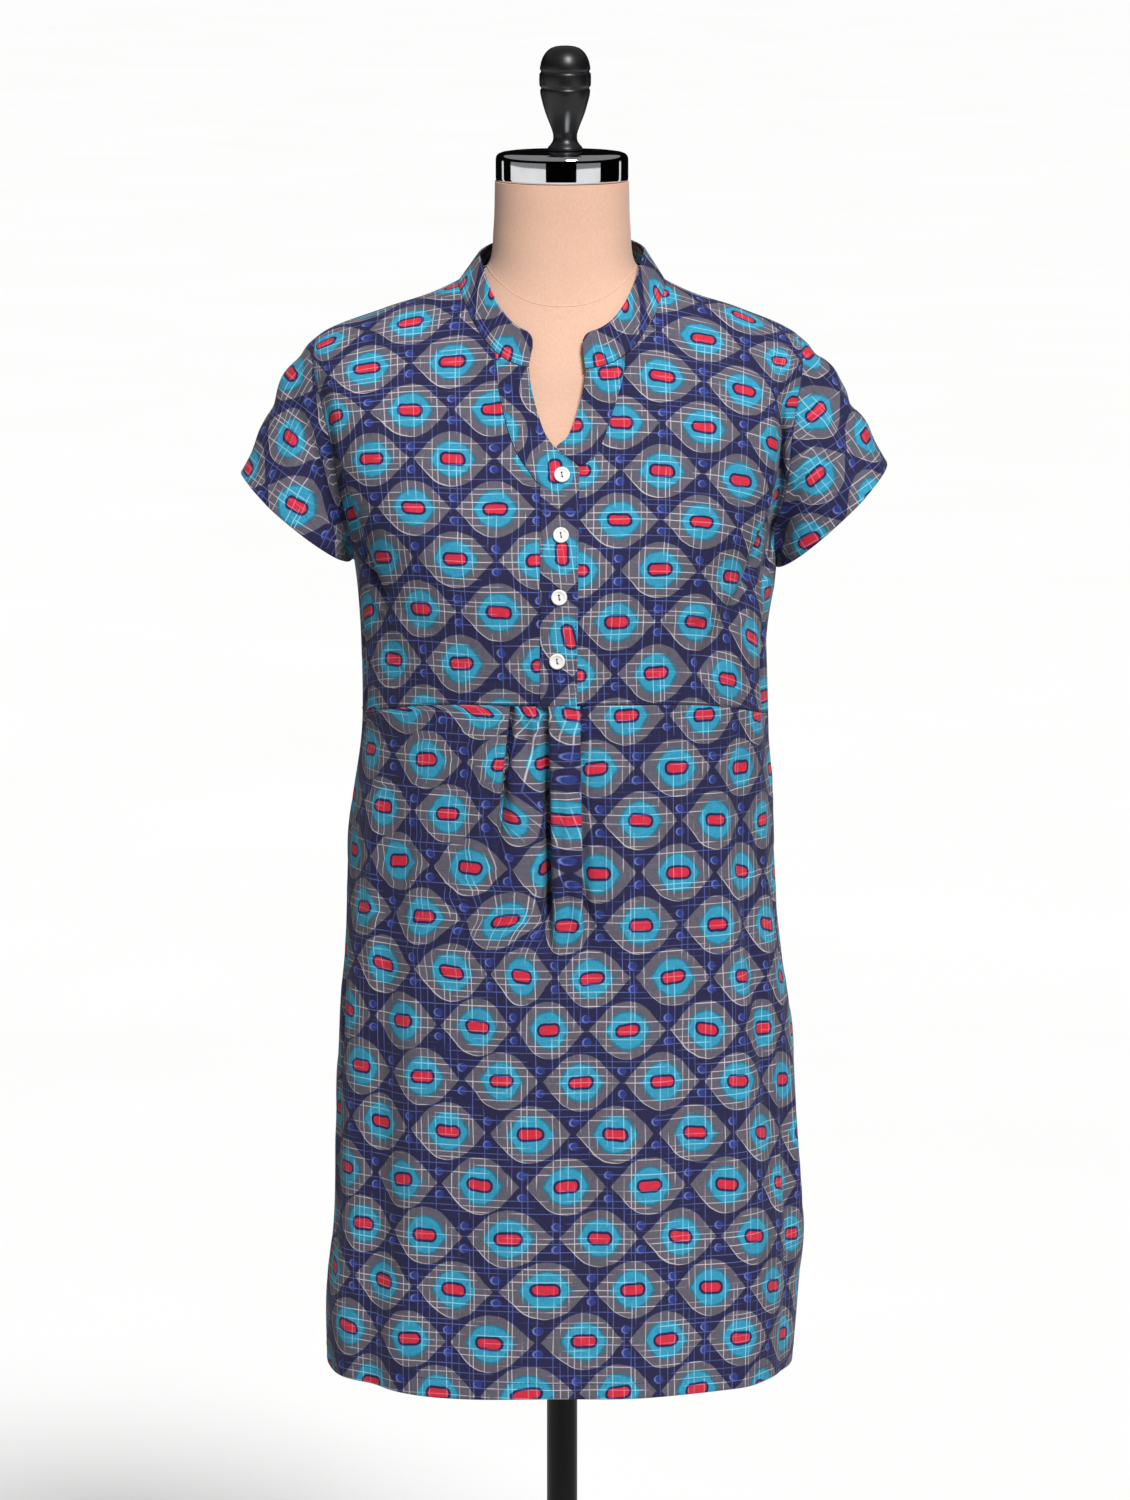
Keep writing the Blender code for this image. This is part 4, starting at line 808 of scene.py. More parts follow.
YOKES = {
    # name: side, columns, where one motif of the print lies (x, z), flat cut and its area
    "front_yoke_left": (-1, 96, (-0.0775, 1.1285), (0.226, 0.390), 0.0665),
    "front_yoke_right": (1, 108, (0.0732, 1.1202), (0.260, 0.390), 0.0736),
}
for name, (side, columns, motif, cut, area) in YOKES.items():
    seam = radians(90) - radians(ARMHOLE_FRONT) * armhole_share(UPPER_ROWS)
    # The columns lie closer towards the armhole, where the folds are narrow
    spread = 1 - (1 - np.linspace(0, 1, columns)) ** 1.35
    if side < 0:
        edge_x = np.minimum(neck_line("placket_inner", UPPER_ROWS) - STRIP_TUCK, YOKE_LEFT_EDGE)
        angles = between(-seam, angle_at(edge_x, UPPER_ROWS), 1 - spread[::-1])
    else:
        edge_x = neck_line("yoke_right", UPPER_ROWS)
        angles = between(angle_at(edge_x, UPPER_ROWS), seam, spread)
    points = cloth(angles, UPPER_ROWS[:, None] + 0 * angles)
    points = draw_in(points, ("foot", "start" if side < 0 else "end"))
    flat = lay_flat(points, columns - 1 if side < 0 else 0, level_shoulders=True)
    flat = yoke_drift(name, flat - flat[nearest(points, *motif)])
    yoke = cloth_piece(name, points, flat, printed_cotton)
    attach(yoke, "root")
    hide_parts(name)


# Lower front. One piece of the same cloth, cut wider than the yokes and taken in under the placket
# by a box pleat, a pleat beside it and a small tuck, with its lower edge turned up and stitched.
Pleat = namedtuple("Pleat", "side top_x foot_x underlap pressed_z foot_z stand")
PLEATS = {
    # side, top and foot x, underlap, pressed as far down as, gone at, how far it rolls open
    "left_pleat": Pleat(1, -0.0410, -0.0560, 0.0050, 1.045, 0.950, 0.0022),
    "small_tuck": Pleat(1, -0.0210, -0.0195, 0.0010, 1.088, 1.060, 0.0002),
    "box_left": Pleat(-1, -0.0104, -0.0060, 0.0090, 0.965, 0.865, 0.0036),
    "box_right": Pleat(1, 0.0140, 0.0175, 0.0090, 0.955, 0.865, 0.0019),
}
PLEAT_TOP_Z = TUNIC_SECTIONS["yoke_seam"][SECTION_COLUMNS.index("front_z")]
FULL_OPEN_TURN = 0.02       # the small bend that is left of a fold at its foot, in radians
FOLD_RADIUS = 0.0009        # of the middle of the cloth round a pressed edge
OPEN_RADIUS = 0.0060        # of the soft wave that a pleat ends in
TURN_STEPS = 7              # flat faces round one folded edge
LOWER_LAYER_SINKS = 0.70    # share of a pleat's height that its lower layer lies below the body's
HOLLOW_WIDTH = 0.0085       # of the dip in which the lower layer goes down
PLEAT_LEFT = -0.0800        # the pleats' part of the lower front
PLEAT_RIGHT = 0.0500
HEM_TURN = 0.014            # how far the hem is turned up inside
HEM_RADIUS = 0.0006
HEM_SAG = 0.0032            # the hem hangs this much lower on the left, about there, so far around
HEM_SAG_X = -0.095
HEM_SAG_WIDTH = 0.050
HEM_SAG_TOP = 0.740
HEM_SAG_FADE = 0.15


def fold_line(side, turn, underlap, radius):
    """Section through one pleat, from its upper to its lower layer, with its edge at x = 0."""
    angles = np.concatenate((np.linspace(0, turn, TURN_STEPS + 1),
                             np.linspace(turn, 0, TURN_STEPS + 1)))
    arc = radius * turn / TURN_STEPS
    x = [0.0]
    height = [0.0]
    for start, end in zip(angles[:-1], angles[1:]):
        middle = (start + end) / 2
        length = underlap if start == end else arc
        x.append(x[-1] + length * cos(middle))
        height.append(height[-1] - length * sin(middle))
    line = np.stack((x, height), axis=1)
    line[:, 0] -= line[:TURN_STEPS + 1, 0].max()
    line[:, 1] -= line[-1, 1] + LOWER_LAYER_SINKS * (line[0, 1] - line[-1, 1])
    line[:, 0] *= side
    return line if side > 0 else line[::-1]


def dip(distance):
    """1 under a pleat's edge, 0 from a hollow's width away."""
    share = 1 - np.clip(distance / HOLLOW_WIDTH, 0, 1)
    return share * share * (3 - 2 * share)


def pleat_section(front_z):
    """Section through the pleated part of the lower front, as x and height off the body."""
    folds = []
    drop = PLEAT_TOP_Z - front_z
    for pleat in PLEATS.values():
        length = PLEAT_TOP_Z - pleat.foot_z
        pressed_length = PLEAT_TOP_Z - pleat.pressed_z
        along = np.clip(drop / length, 0.0, 1.0)
        pressed = np.clip(drop / pressed_length, 0.0, 1.0)
        opened = np.clip((drop - pressed_length) / (length - pressed_length), 0.0, 1.0)
        turn = pi * (1 - opened) ** 1.5 + FULL_OPEN_TURN
        rolled = FOLD_RADIUS + pleat.stand * pressed ** 0.7
        radius = rolled + (OPEN_RADIUS - rolled) * opened
        line = fold_line(pleat.side, turn, max(pleat.underlap * (1 - pressed ** 2), GAP), radius)
        line[:, 0] += pleat.top_x + (pleat.foot_x - pleat.top_x) * along
        folds.append(line)
    left, tuck, box_left, box_right = folds
    climb = np.linspace(0, 1, 13)
    before = np.stack((PLEAT_LEFT + (left[0, 0] - PLEAT_LEFT) * climb, left[0, 1] * climb ** 2),
                      axis=1)[:-1]
    pieces = [before]
    for one, other in ((left, tuck), (tuck, box_left), (box_left, box_right)):
        share = np.linspace(0, 1, 12)[1:-1]
        x = one[-1, 0] + (other[0, 0] - one[-1, 0]) * share
        height = one[-1, 1] * dip(x - one[:, 0].max()) + other[0, 1] * dip(other[:, 0].min() - x)
        pieces += [one, np.stack((x, height), axis=1)]
    x = box_right[-1, 0] + (PLEAT_RIGHT - box_right[-1, 0]) * climb[1:] ** 1.5
    after = np.stack((x, box_right[-1, 1] * dip(x - box_right[:, 0].max())), axis=1)
    return np.vstack(pieces + [box_right, after])


def turned_hem(points, flat, depth=HEM_TURN):
    """Carry a grid on round its lower edge and up inside, as a hem that is turned up once."""
    last, before = points[-1], points[-2]
    down = unit(last - before)
    beside = np.gradient(last, axis=0)
    inward = -unit(np.cross(down, beside))
    rows, maps = [points], [flat]
    gone = 0.0
    place = last
    for angle in np.linspace(0, pi, 7)[1:]:
        place = last + down * HEM_RADIUS * sin(angle) + inward * HEM_RADIUS * (1 - cos(angle))
        gone += HEM_RADIUS * pi / 6
        rows.append(place[None])
        maps.append((flat[-1] - (0, gone))[None])
    for step in (0.25, 0.5, 0.75, 1.0):
        back = step * depth / np.linalg.norm(last - before, axis=-1, keepdims=True).mean()
        index = len(points) - 1 - back
        low = int(np.floor(index))
        part = index - low
        level = points[low] * (1 - part) + points[min(low + 1, len(points) - 1)] * part
        rows.append((level + inward * 2 * HEM_RADIUS)[None])
        maps.append((flat[-1] - (0, gone + step * depth))[None])
    return np.vstack(rows), np.vstack(maps)


LOWER_ROWS = np.concatenate((np.linspace(YOKE_SEAM, HIGH_HIP, 62),
                             np.linspace(HIGH_HIP, HEM, 112)[1:]))
LOWER_COLUMNS = (46, 54)    # left and right of the pleats
SKIRT_MOTIF = (0.0516, 1.0879)      # where one motif of the print lies (x, z)
# The lower front is cut a little off the grain, and its pleats take in some of the print: how far
# the print stands to the right, in mm, by the depth below the seam, and how much more left of them
DRIFT_DEPTHS = (0, 25, 40, 80, 125, 145, 165, 185, 210, 250, 295, 340, 385, 425, 470, 510, 550)
DRIFT_RIGHT = (1, 6, 9, 12, 10, 11, 12, 9, 5, 1, -4, -10, -16, -23, -30, -35, -41)
DRIFT_LEFT = (0, -28, -41, -47, -36, -23, -1, 13, 20, 13, 3, -4, -5, -11, -13, -12, -15)
DRIFT_LEFT_SPAN = (-130.0, -30.0)   # all of it left of the first, none right of the second
PLEATS_HOLD_DEPTHS = (0, 15, 45, 60, 80, 100, 125, 145, 165, 185, 210)
PLEATS_HOLD = (81, 93, 101, 104, 93, 77, 66, 53, 22, 5, 0)      # cloth in the pleats, by depth
PLEATS_SPAN = (-190.0, -20.0)       # where it lies on the flat map
DRIFT_DROOP = 0.0006        # the rows droop towards the right side, growing with the square
DRIFT_RISE = ((0, 165, 340, 550), (4, 4, 0, -5))    # depths, and the rise of the rows at the left
ROW_STEP = 0.22             # share of a repeat over which the drift goes on to the next row


def share_left_of(across, span):
    """0 right of a span of the flat map, 1 left of it, and a straight slope between."""
    return np.clip((span[1] - across) / (span[1] - span[0]), 0, 1)


def pleats_pull(across, up):
    """How far the pleats pull the cloth left of them to the side, in mm."""
    hold = np.interp(-up, PLEATS_HOLD_DEPTHS, PLEATS_HOLD)
    return -hold * share_left_of(across, PLEATS_SPAN)


def skirt_drift(flat, half):
    """Flat map of the lower front for one grid of its print, which drifts row by row."""
    across, up = flat[..., 0] * 1e3, flat[..., 1] * 1e3
    row = up / REPEAT_HIGH + half
    step = np.clip((row % 1 - 0.5) / ROW_STEP + 0.5, 0, 1)
    pull = pleats_pull(across, up)
    up = (np.floor(row) + step * step * (3 - 2 * step) - half) * REPEAT_HIGH
    on_left = share_left_of(across, DRIFT_LEFT_SPAN)
    on_left = on_left * on_left * (3 - 2 * on_left)
    moved_across = (pull - pleats_pull(across, up) + np.interp(-up, DRIFT_DEPTHS, DRIFT_RIGHT)
                    + on_left * np.interp(-up, DRIFT_DEPTHS, DRIFT_LEFT))
    moved_up = np.interp(-up, *DRIFT_RISE) * on_left
    moved_up = moved_up - DRIFT_DROOP * np.clip(across, 0, 220) ** 2
    return flat - np.stack((moved_across, moved_up), axis=-1) / 1e3


sections = np.array([pleat_section(z) for z in front_z_at(LOWER_ROWS)])
rows = LOWER_ROWS[:, None]
middle = angle_at(sections[..., 0], rows + 0 * sections[..., 0])
quarter = np.full(len(LOWER_ROWS), radians(90))
left = between(-quarter, middle[:, 0], np.linspace(0, 1, LOWER_COLUMNS[0]))[:, :-1]
right = between(middle[:, -1], quarter, np.linspace(0, 1, LOWER_COLUMNS[1]))[:, 1:]
angles = np.hstack((left, middle, right))
lift = np.hstack((0 * left, sections[..., 1], 0 * right))
points = cloth(angles, rows + 0 * angles, lift)
points = draw_in(points, ("top", "start", "end"))
sag = HEM_SAG * np.exp(-((points[..., 0] - HEM_SAG_X) / HEM_SAG_WIDTH) ** 2)
points[..., 2] -= sag * np.clip((HEM_SAG_TOP - points[..., 2]) / HEM_SAG_FADE, 0, 1)
flat = lay_flat(points, left.shape[1] + middle.shape[1] - 1)
flat = flat - flat[nearest(points, *SKIRT_MOTIF)]
points, flat = turned_hem(points, flat)
threads = flat.copy()
threads[..., 0] -= pleats_pull(flat[..., 0] * 1e3, flat[..., 1] * 1e3) / 1e3
skirt_front = cloth_piece("skirt_front", points, threads, printed_cotton,
                          prints=(skirt_drift(flat, 0.0), skirt_drift(flat, 0.5)))
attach(skirt_front, "root")
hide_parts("skirt_front")


# Back. One long piece of the same cloth, cut from the collar seam to the hem.
BACK_COLUMNS = 136
back_rows = np.concatenate((UPPER_ROWS, LOWER_ROWS[1:]))
seam = radians(90) + radians(ARMHOLE_BACK) * armhole_share(back_rows)
angles = between(seam, 2 * pi - seam, np.linspace(0, 1, BACK_COLUMNS))
points = cloth(angles, back_rows[:, None] + 0 * angles)
points = draw_in(points, ("start", "end"))
flat = lay_flat(points, BACK_COLUMNS // 2 - 1, level_shoulders=True)
points, flat = turned_hem(points, flat)
back = cloth_piece("back", points, flat, printed_cotton)
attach(back, "root")
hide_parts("back")


# Cap sleeves. One piece of the cloth each, set into the armhole with its grain down the arm, and
# turned up once at the cuff.
Sleeve = namedtuple("Sleeve", "side tip_x tip_z inner_x inner_z half_depth")
SLEEVES = {
    "sleeve_left": Sleeve(-1, 0.2570, 1.2680, 0.1700, 1.1955, 0.058),
    "sleeve_right": Sleeve(1, 0.2610, 1.2740, 0.1720, 1.1910, 0.059),
}
SLEEVE_RINGS = 44
CUFF_DIRECTION = (0.55, 0.0, -0.83)
SLEEVE_GRAIN = (-0.55, 0.0, 0.83)
CUFF_DROP = 0.003           # how much lower the cuff hangs in front
UNDERARM_DIRECTION = (1.0, 0.0, 0.0)
SHOULDER_DIRECTION = (0.80, 0.0, -0.60)
SLEEVE_ROLL = {"sleeve_left": 0.002, "sleeve_right": 0.006}    # over the armhole in front
SLEEVE_ROLL_AT, SLEEVE_ROLL_WIDE = 0.16, 0.09       # place and half width, in shares of its length
CUFF_STITCH_RING = -9       # the ring of points that the cuff's stitches follow
# Small dents and rolls: place round the sleeve, share of its length, half widths, height
SLEEVE_DENTS = {
    "sleeve_left": ((4.0, 0.16, 22.0, 0.07, -0.0022), (-4.0, 0.34, 26.0, 0.08, 0.0016),
                    (6.0, 0.52, 20.0, 0.07, -0.0024), (0.0, 0.72, 24.0, 0.08, 0.0014),
                    (70.0, 0.30, 20.0, 0.12, -0.0020), (118.0, 0.55, 18.0, 0.14, -0.0022)),
    "sleeve_right": ((2.0, 0.14, 22.0, 0.06, -0.0026), (-4.0, 0.30, 24.0, 0.08, 0.0020),
                     (4.0, 0.56, 20.0, 0.06, -0.0034), (0.0, 0.72, 22.0, 0.08, 0.0018),
                     (56.0, 0.42, 18.0, 0.12, -0.0018), (110.0, 0.62, 18.0, 0.12, -0.0020)),
}
SEAM_PROBE = radians(2)     # how far inside the armhole the body's slope is read
# Folds of a sleeve: place round it in degrees (0 on the shoulder, 90 in front), where it starts
# and ends between armhole and cuff, half width in degrees, height
SLEEVE_FOLDS = (
    (42.0, 50.0, -0.2, 0.9, 13.0, -0.0030),
    (76.0, 70.0, 0.0, 1.3, 10.0, 0.0028),
    (112.0, 104.0, -0.1, 1.1, 13.0, -0.0026),
    (140.0, 138.0, 0.0, 1.4, 10.0, 0.0022),
    (-38.0, -46.0, -0.2, 0.9, 13.0, -0.0026),
    (-72.0, -66.0, 0.0, 1.3, 11.0, 0.0026),
    (-108.0, -104.0, -0.1, 1.2, 13.0, -0.0024),
    (8.0, 14.0, 0.1, 1.3, 9.0, 0.0016),
)


def seam_ring():
    """Front and back of the right armhole as one ring: angles and rows, from the shoulder."""
    steps = armhole_rows()
    rows = np.concatenate((steps, steps[-2:0:-1]))
    front = radians(90) - radians(ARMHOLE_FRONT) * armhole_share(steps)
    rear = radians(90) + radians(ARMHOLE_BACK) * armhole_share(steps[-2:0:-1])
    return np.concatenate((front, rear)), rows


cuff_lines = {}             # where each cuff is stitched
SLEEVE_MOTIFS = {"sleeve_left": (-0.2108, 1.2447), "sleeve_right": (0.2017, 1.3196)}
for name, (side, tip_x, tip_z, inner_x, inner_z, half_depth) in SLEEVES.items():
    mirror = np.array((side, 1, 1))
    angles, rows = seam_ring()
    count = len(rows)
    seam = cloth(side * angles, rows)
    inward = np.where(angles > radians(90), 1, -1)
    inside = cloth(side * (angles + inward * SEAM_PROBE), rows)
    along = np.roll(seam, -1, axis=0) - np.roll(seam, 1, axis=0)
    off_edge = seam - inside
    off_edge -= unit(along) * np.sum(off_edge * unit(along), axis=1, keepdims=True)
    off_edge = unit(off_edge)
    turn = np.linspace(0, 2 * pi, count, endpoint=False)
    off_edge[0] = np.array(SHOULDER_DIRECTION) * mirror
    off_edge[count // 2] = (0, 0, 1)
    low = (np.sin(turn / 2) ** 4)[:, None]
    high = (np.cos(turn / 2) ** 8)[:, None]
    start_way = unit(off_edge * (1 - low) * (1 - high)
                     + (high * SHOULDER_DIRECTION + low * UNDERARM_DIRECTION) * mirror)
    lean = np.sqrt(np.clip(1 - np.sum(start_way * off_edge, axis=1) ** 2, 0.0, 1.0))
    start = seam + off_edge * (GAP + lean * WALL / 2)[:, None]
    centre = np.array((side * (tip_x + inner_x) / 2, 0.0, (tip_z + inner_z) / 2))
    to_tip = np.array((side * (tip_x - inner_x) / 2, 0.0, (tip_z - inner_z) / 2))
    to_front = np.array((0.0, -half_depth, 0.0))
    cuff = centre + np.cos(turn)[:, None] * to_tip + np.sin(turn)[:, None] * to_front
    drop = CUFF_DROP * np.clip(np.sin(turn), 0, 1)[:, None]
    cuff = cuff - drop * unit(np.array(SLEEVE_GRAIN) * mirror)
    end_way = unit(np.array(CUFF_DIRECTION) * mirror)
    length = np.linalg.norm(cuff - start, axis=1, keepdims=True)
    rings = []
    for share in np.linspace(0, 1, SLEEVE_RINGS):
        rings.append((2 * share ** 3 - 3 * share ** 2 + 1) * start
                     + (share ** 3 - 2 * share ** 2 + share) * start_way * length
                     + (3 * share ** 2 - 2 * share ** 3) * cuff
                     + (share ** 3 - share ** 2) * end_way * length)
    points = np.array(rings)
    if side > 0:
        points = points[:, np.r_[0, count - 1:0:-1]]
        turn = -turn
    # Cut at the underarm, where the sleeve's own seam is, so that the print starts and ends there
    points = np.roll(points, -(count // 2), axis=1)
    turn = np.roll(turn, -(count // 2))
    share = np.linspace(0, 1, SLEEVE_RINGS)[:, None]
    ring = np.concatenate((points, points[:, :1]), axis=1)
    out = unit(np.cross(np.gradient(ring, axis=0), np.gradient(ring, axis=1)))[:, :-1]
    pushed = np.zeros(points.shape[:2])
    for top, foot, first, last, wide, height in SLEEVE_FOLDS:
        part = np.clip((share - first) / (last - first), 0, 1)
        away = (-np.degrees(turn)[None, :] * side - (top + (foot - top) * share) + 180) % 360 - 180
        pushed += height * np.sin(pi * part) ** 0.8 * np.exp(-(away / wide) ** 2)
    front = np.clip(np.sin(-turn * side), 0, 1)[None, :] ** 2
    for place, at, wide, long, height in SLEEVE_DENTS[name]:
        away = (-np.degrees(turn)[None, :] * side - place + 180) % 360 - 180
        pushed += height * np.exp(-(away / wide) ** 2 - ((share - at) / long) ** 2)
    pushed += SLEEVE_ROLL[name] * front * np.exp(-((share - SLEEVE_ROLL_AT)
                                                   / SLEEVE_ROLL_WIDE) ** 2)
    points = points + out * (pushed * np.clip(share * 6, 0, 1))[..., None]
    ring = np.concatenate((points, points[:, :1]), axis=1)
    flat = lay_flat(ring, count // 2, grain=np.array(SLEEVE_GRAIN) * mirror)
    flat -= flat[nearest(np.where(ring[..., 1:2] < 0, ring, 9.0), *SLEEVE_MOTIFS[name])]
    outer = unit(np.cross(np.gradient(ring, axis=0), np.gradient(ring, axis=1)))
    cuff_lines[name.replace("sleeve", "cuff")] = (ring + outer * (WALL / 2 + 0.0001)
                                                  )[CUFF_STITCH_RING]
    ring, flat = turned_hem(ring, flat)
    piece = cloth_piece(name, ring[:, :-1], flat, printed_cotton, closed=True)
    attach(piece, "root")
    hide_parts(name)


# Collar. A narrow band of two layers and interfacing that stands up from the neck seam, open in
# front, with its ends rounded.
COLLAR_TOP = (0.0660, 0.0660, 1.4460, 3.0, 0.0735, 1.3850, 0.0560, 1.4550)
COLLAR_TILT = 0.045         # the band sinks a little towards the left
COLLAR_LEFT_END = -0.0265
COLLAR_RIGHT_END = 0.0185
COLLAR_CORNER = 0.011       # radius of the rounded ends
COLLAR_ROWS = 14
COLLAR_COLUMNS = 181
COLLAR_CROWD = 0.55         # how much closer the columns lie at the two ends
COLLAR_MOTIF_ALONG = 0.0965 # where one motif of the print lies, from the right end
COLLAR_MOTIF_ACROSS = 0.001 # and from the band's foot
# How far along the band the print has come, at places along it
COLLAR_EASE = ((0, 0.130, 0.370, 0.600), (0, 0.130, 0.405, 0.635))
BAND_WALL = 0.0013          # two layers and the interfacing between them
collar_last, collar_first = angle_at(np.array([COLLAR_LEFT_END, COLLAR_RIGHT_END]), np.zeros(2))
collar_last += 2 * pi
ease = np.linspace(0, 1, COLLAR_COLUMNS)
ease = ease - COLLAR_CROWD * np.sin(2 * pi * ease) / (2 * pi)
angles = collar_first + (collar_last - collar_first) * ease
foot = cloth(angles, 0 * angles, 0 * angles + (WALL + GAP) / 2)
uphill = unit(foot - cloth(angles, 0 * angles + 0.1))
foot = foot + uphill * (GAP + WALL / 2)
top = section_point({"a": COLLAR_TOP, "b": COLLAR_TOP}, angles, 0 * angles)
top[:, 2] += COLLAR_TILT * np.minimum(top[:, 0], 0.0)
height = np.linalg.norm(top - foot, axis=1)
from_end = np.minimum(np.linalg.norm(foot - foot[0], axis=1),
                      np.linalg.norm(foot - foot[-1], axis=1))
short = COLLAR_CORNER - np.minimum(from_end, COLLAR_CORNER)
cut = COLLAR_CORNER - np.sqrt(COLLAR_CORNER ** 2 - short ** 2)
share = (1 - cut / height)[:, None]
steps = np.linspace(0, 1, COLLAR_ROWS)
points = np.array([foot + (top - foot) * share * step for step in steps])[::-1]
# The print lies on its side: across the band from its foot, and along it from its right end. Behind
# the neck it is eased, so that both ends show the same rows of the print.
along = np.concatenate(((0.0,), np.cumsum(np.linalg.norm(np.diff(foot, axis=0), axis=1))))
along = np.interp(along, *COLLAR_EASE) - COLLAR_MOTIF_ALONG
across = height[None, :] * steps[::-1, None] * share[None, :, 0]
flat = np.stack((across - COLLAR_MOTIF_ACROSS, 0 * across + along), axis=-1)
collar = cloth_piece("collar", points, flat, printed_cotton, wall=BAND_WALL, rounded=0.0004)
collar_points = points
collar_out = unit(np.cross(top - foot, np.gradient(foot, axis=0)))
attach(collar, "root")
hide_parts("collar")


# Placket and neck strip. Strips of the cloth cut with the grain across, folded over interfacing
# and stitched flat on the fronts: the left one follows the V and runs down to the yoke seam.
STRIP_WALL = 0.0011
STRIP_LIFT = WALL / 2 + STRIP_WALL / 2 + 0.0002
STRIPS = {
    # name: outer and inner line, last height, rows, print turned across, where one motif lies
    # (x, z), flat cut and its area
    "placket": ("placket_outer", "placket_inner", PLEAT_TOP_Z, 110, True, (0.0001, 1.2161),
                (0.070, 0.283), 0.0083),
    "neck_strip_right": ("strip_outer", "strip_inner", STRIP_END_Z, 42, False, (0.0383, 1.3539),
                         (0.057, 0.088), 0.0023),
}
STRIP_COLUMNS = 15
STRIP_TOP_Z = NECK_LINES[0][0]
PLACKET_LEAN = 0.085        # the placket's print runs this far off its length
for name, (outer, inner, end_z, count, turned_print, motif, cut, area) in STRIPS.items():
    rows = row_at(np.linspace(STRIP_TOP_Z, end_z, count))
    x = between(neck_line(outer, rows), neck_line(inner, rows), np.linspace(0, 1, STRIP_COLUMNS))
    if not turned_print:
        x = x[:, ::-1]
    grid_rows = rows[:, None] + 0 * x
    points = cloth(angle_at(x, grid_rows), grid_rows, 0 * x + STRIP_LIFT)
    points = draw_in(points, ("foot",))
    flat = lay_flat(points, STRIP_COLUMNS // 2, level_shoulders=True)
    flat -= flat[nearest(points, *motif)]
    if turned_print:
        flat = flat[..., ::-1]
        flat[..., 1] += PLACKET_LEAN * flat[..., 0]
    strip = cloth_piece(name, points, flat, printed_cotton, wall=STRIP_WALL, rounded=0.0004)
    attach(strip, "root")
    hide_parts(name)


# Buttons. Four turned resin buttons with a raised rim and two holes, sewn to the placket.
BUTTON_RADIUS = 0.0063
BUTTON_HEIGHT = 0.0022
BUTTON_HOLE_RADIUS = 0.0008
BUTTON_HOLE_SPACING = 0.0034
BUTTON_TILT = 100.0         # the line through the two holes, in degrees
BUTTON_LIFT = 0.0003        # between button and placket
STRAND_RADIUS = 0.0002      # of the two strands of thread over the bridge between the holes
STRAND_ASIDE = 0.00022      # each lies this far from the button's middle line
STRAND_ARCH = 0.00035       # how high they rise in the middle
STRAND_DIVE = 0.0009        # how far they go down into the holes
BUTTONS = ((0.0000, 1.2755), (-0.0008, 1.2294), (-0.0022, 1.1820), (-0.0038, 1.1317))
BUTTON_PROFILE = ((0.66, 0.0), (0.66, 0.45), (0.70, 0.58), (0.86, 0.68), (0.98, 0.76),
                  (1.0, 0.84), (0.93, 0.93), (0.72, 0.99), (0.45, 1.0), (0.2, 0.97),
                  (0.05, 0.92), (0.0, 0.86), (0.0, 0.0))


def join_rings(shell, rings):
    """Faces between rings of points that follow each other; a ring of one point is a pole."""
    for upper, lower in zip(rings[:-1], rings[1:]):
        count = max(len(upper), len(lower))
        for step in range(count):
            after = (step + 1) % count
            corners = (upper[after % len(upper)], upper[step % len(upper)],
                       lower[step % len(lower)], lower[after % len(lower)])
            shell.faces.new(tuple(dict.fromkeys(corners)))


def finished(shell, name, material, sharp=None, place=None):
    """Object of a closed shell, faces outwards and shaded smooth but for edges of a sharp angle."""
    bmesh.ops.recalc_face_normals(shell, faces=shell.faces)
    mesh = bpy.data.meshes.new(name)
    shell.to_mesh(mesh)
    shell.free()
    if place is not None:
        mesh.transform(place)
    mesh.shade_smooth()
    if sharp is not None:
        mesh.set_sharp_from_angle(angle=radians(sharp))
    mesh.materials.append(material)
    thing = bpy.data.objects.new(name, mesh)
    scene.collection.objects.link(thing)
    return thing


def turned(name, profile, steps, material):
    """Closed turned solid from a profile of (height, radius) that runs from top to bottom."""
    shell = bmesh.new()
    angles = [2 * pi * step / steps for step in range(steps)]
    join_rings(shell, [[shell.verts.new((radius * cos(angle), radius * sin(angle), height))
                        for angle in (angles if radius else angles[:1])]
                       for height, radius in profile])
    return finished(shell, name, material, sharp=40)


def strand_rings(shell, middle, aside, above, radius, sides=6):
    """Rings of points round a thin strand, from the line of its middle and two ways across it."""
    turns = [2 * pi * side / sides for side in range(sides)]
    ways = (np.broadcast_to(way, middle.shape) for way in (aside, above))
    return [[shell.verts.new(place + radius * (one * cos(turn) + other * sin(turn)))
             for turn in turns] for place, one, other in zip(middle, *ways)]


def settled(thing, name, place=None):
    """Plain mesh object of a modified object, with its place worked into the mesh."""
    bpy.context.view_layer.update()
    mesh = bpy.data.meshes.new_from_object(
        thing.evaluated_get(bpy.context.evaluated_depsgraph_get()))
    mesh.name = name
    if place is not None:
        mesh.transform(place)
    made = bpy.data.objects.new(name, mesh)
    scene.collection.objects.link(made)
    return made


# Polyester resin, turned and tumbled: off-white, half glossy, slightly translucent at the rim.
button_resin, tree, shader = new_material("polished_polyester_resin", 0.28, IOR=1.54,
                                          Coat_Weight=0.25, Coat_Roughness=0.15)
mottle(tree, shader, "E6E3DC", "F6F4EF", Scale=260.0, Detail=3.0)
# Polyester sewing thread: grey, wound, with a soft shine.
sewing_thread, tree, shader = new_material("polyester_sewing_thread", 0.6)
mottle(tree, shader, "4A4C55", "8B8D95", Scale=2400.0, Detail=1.0)

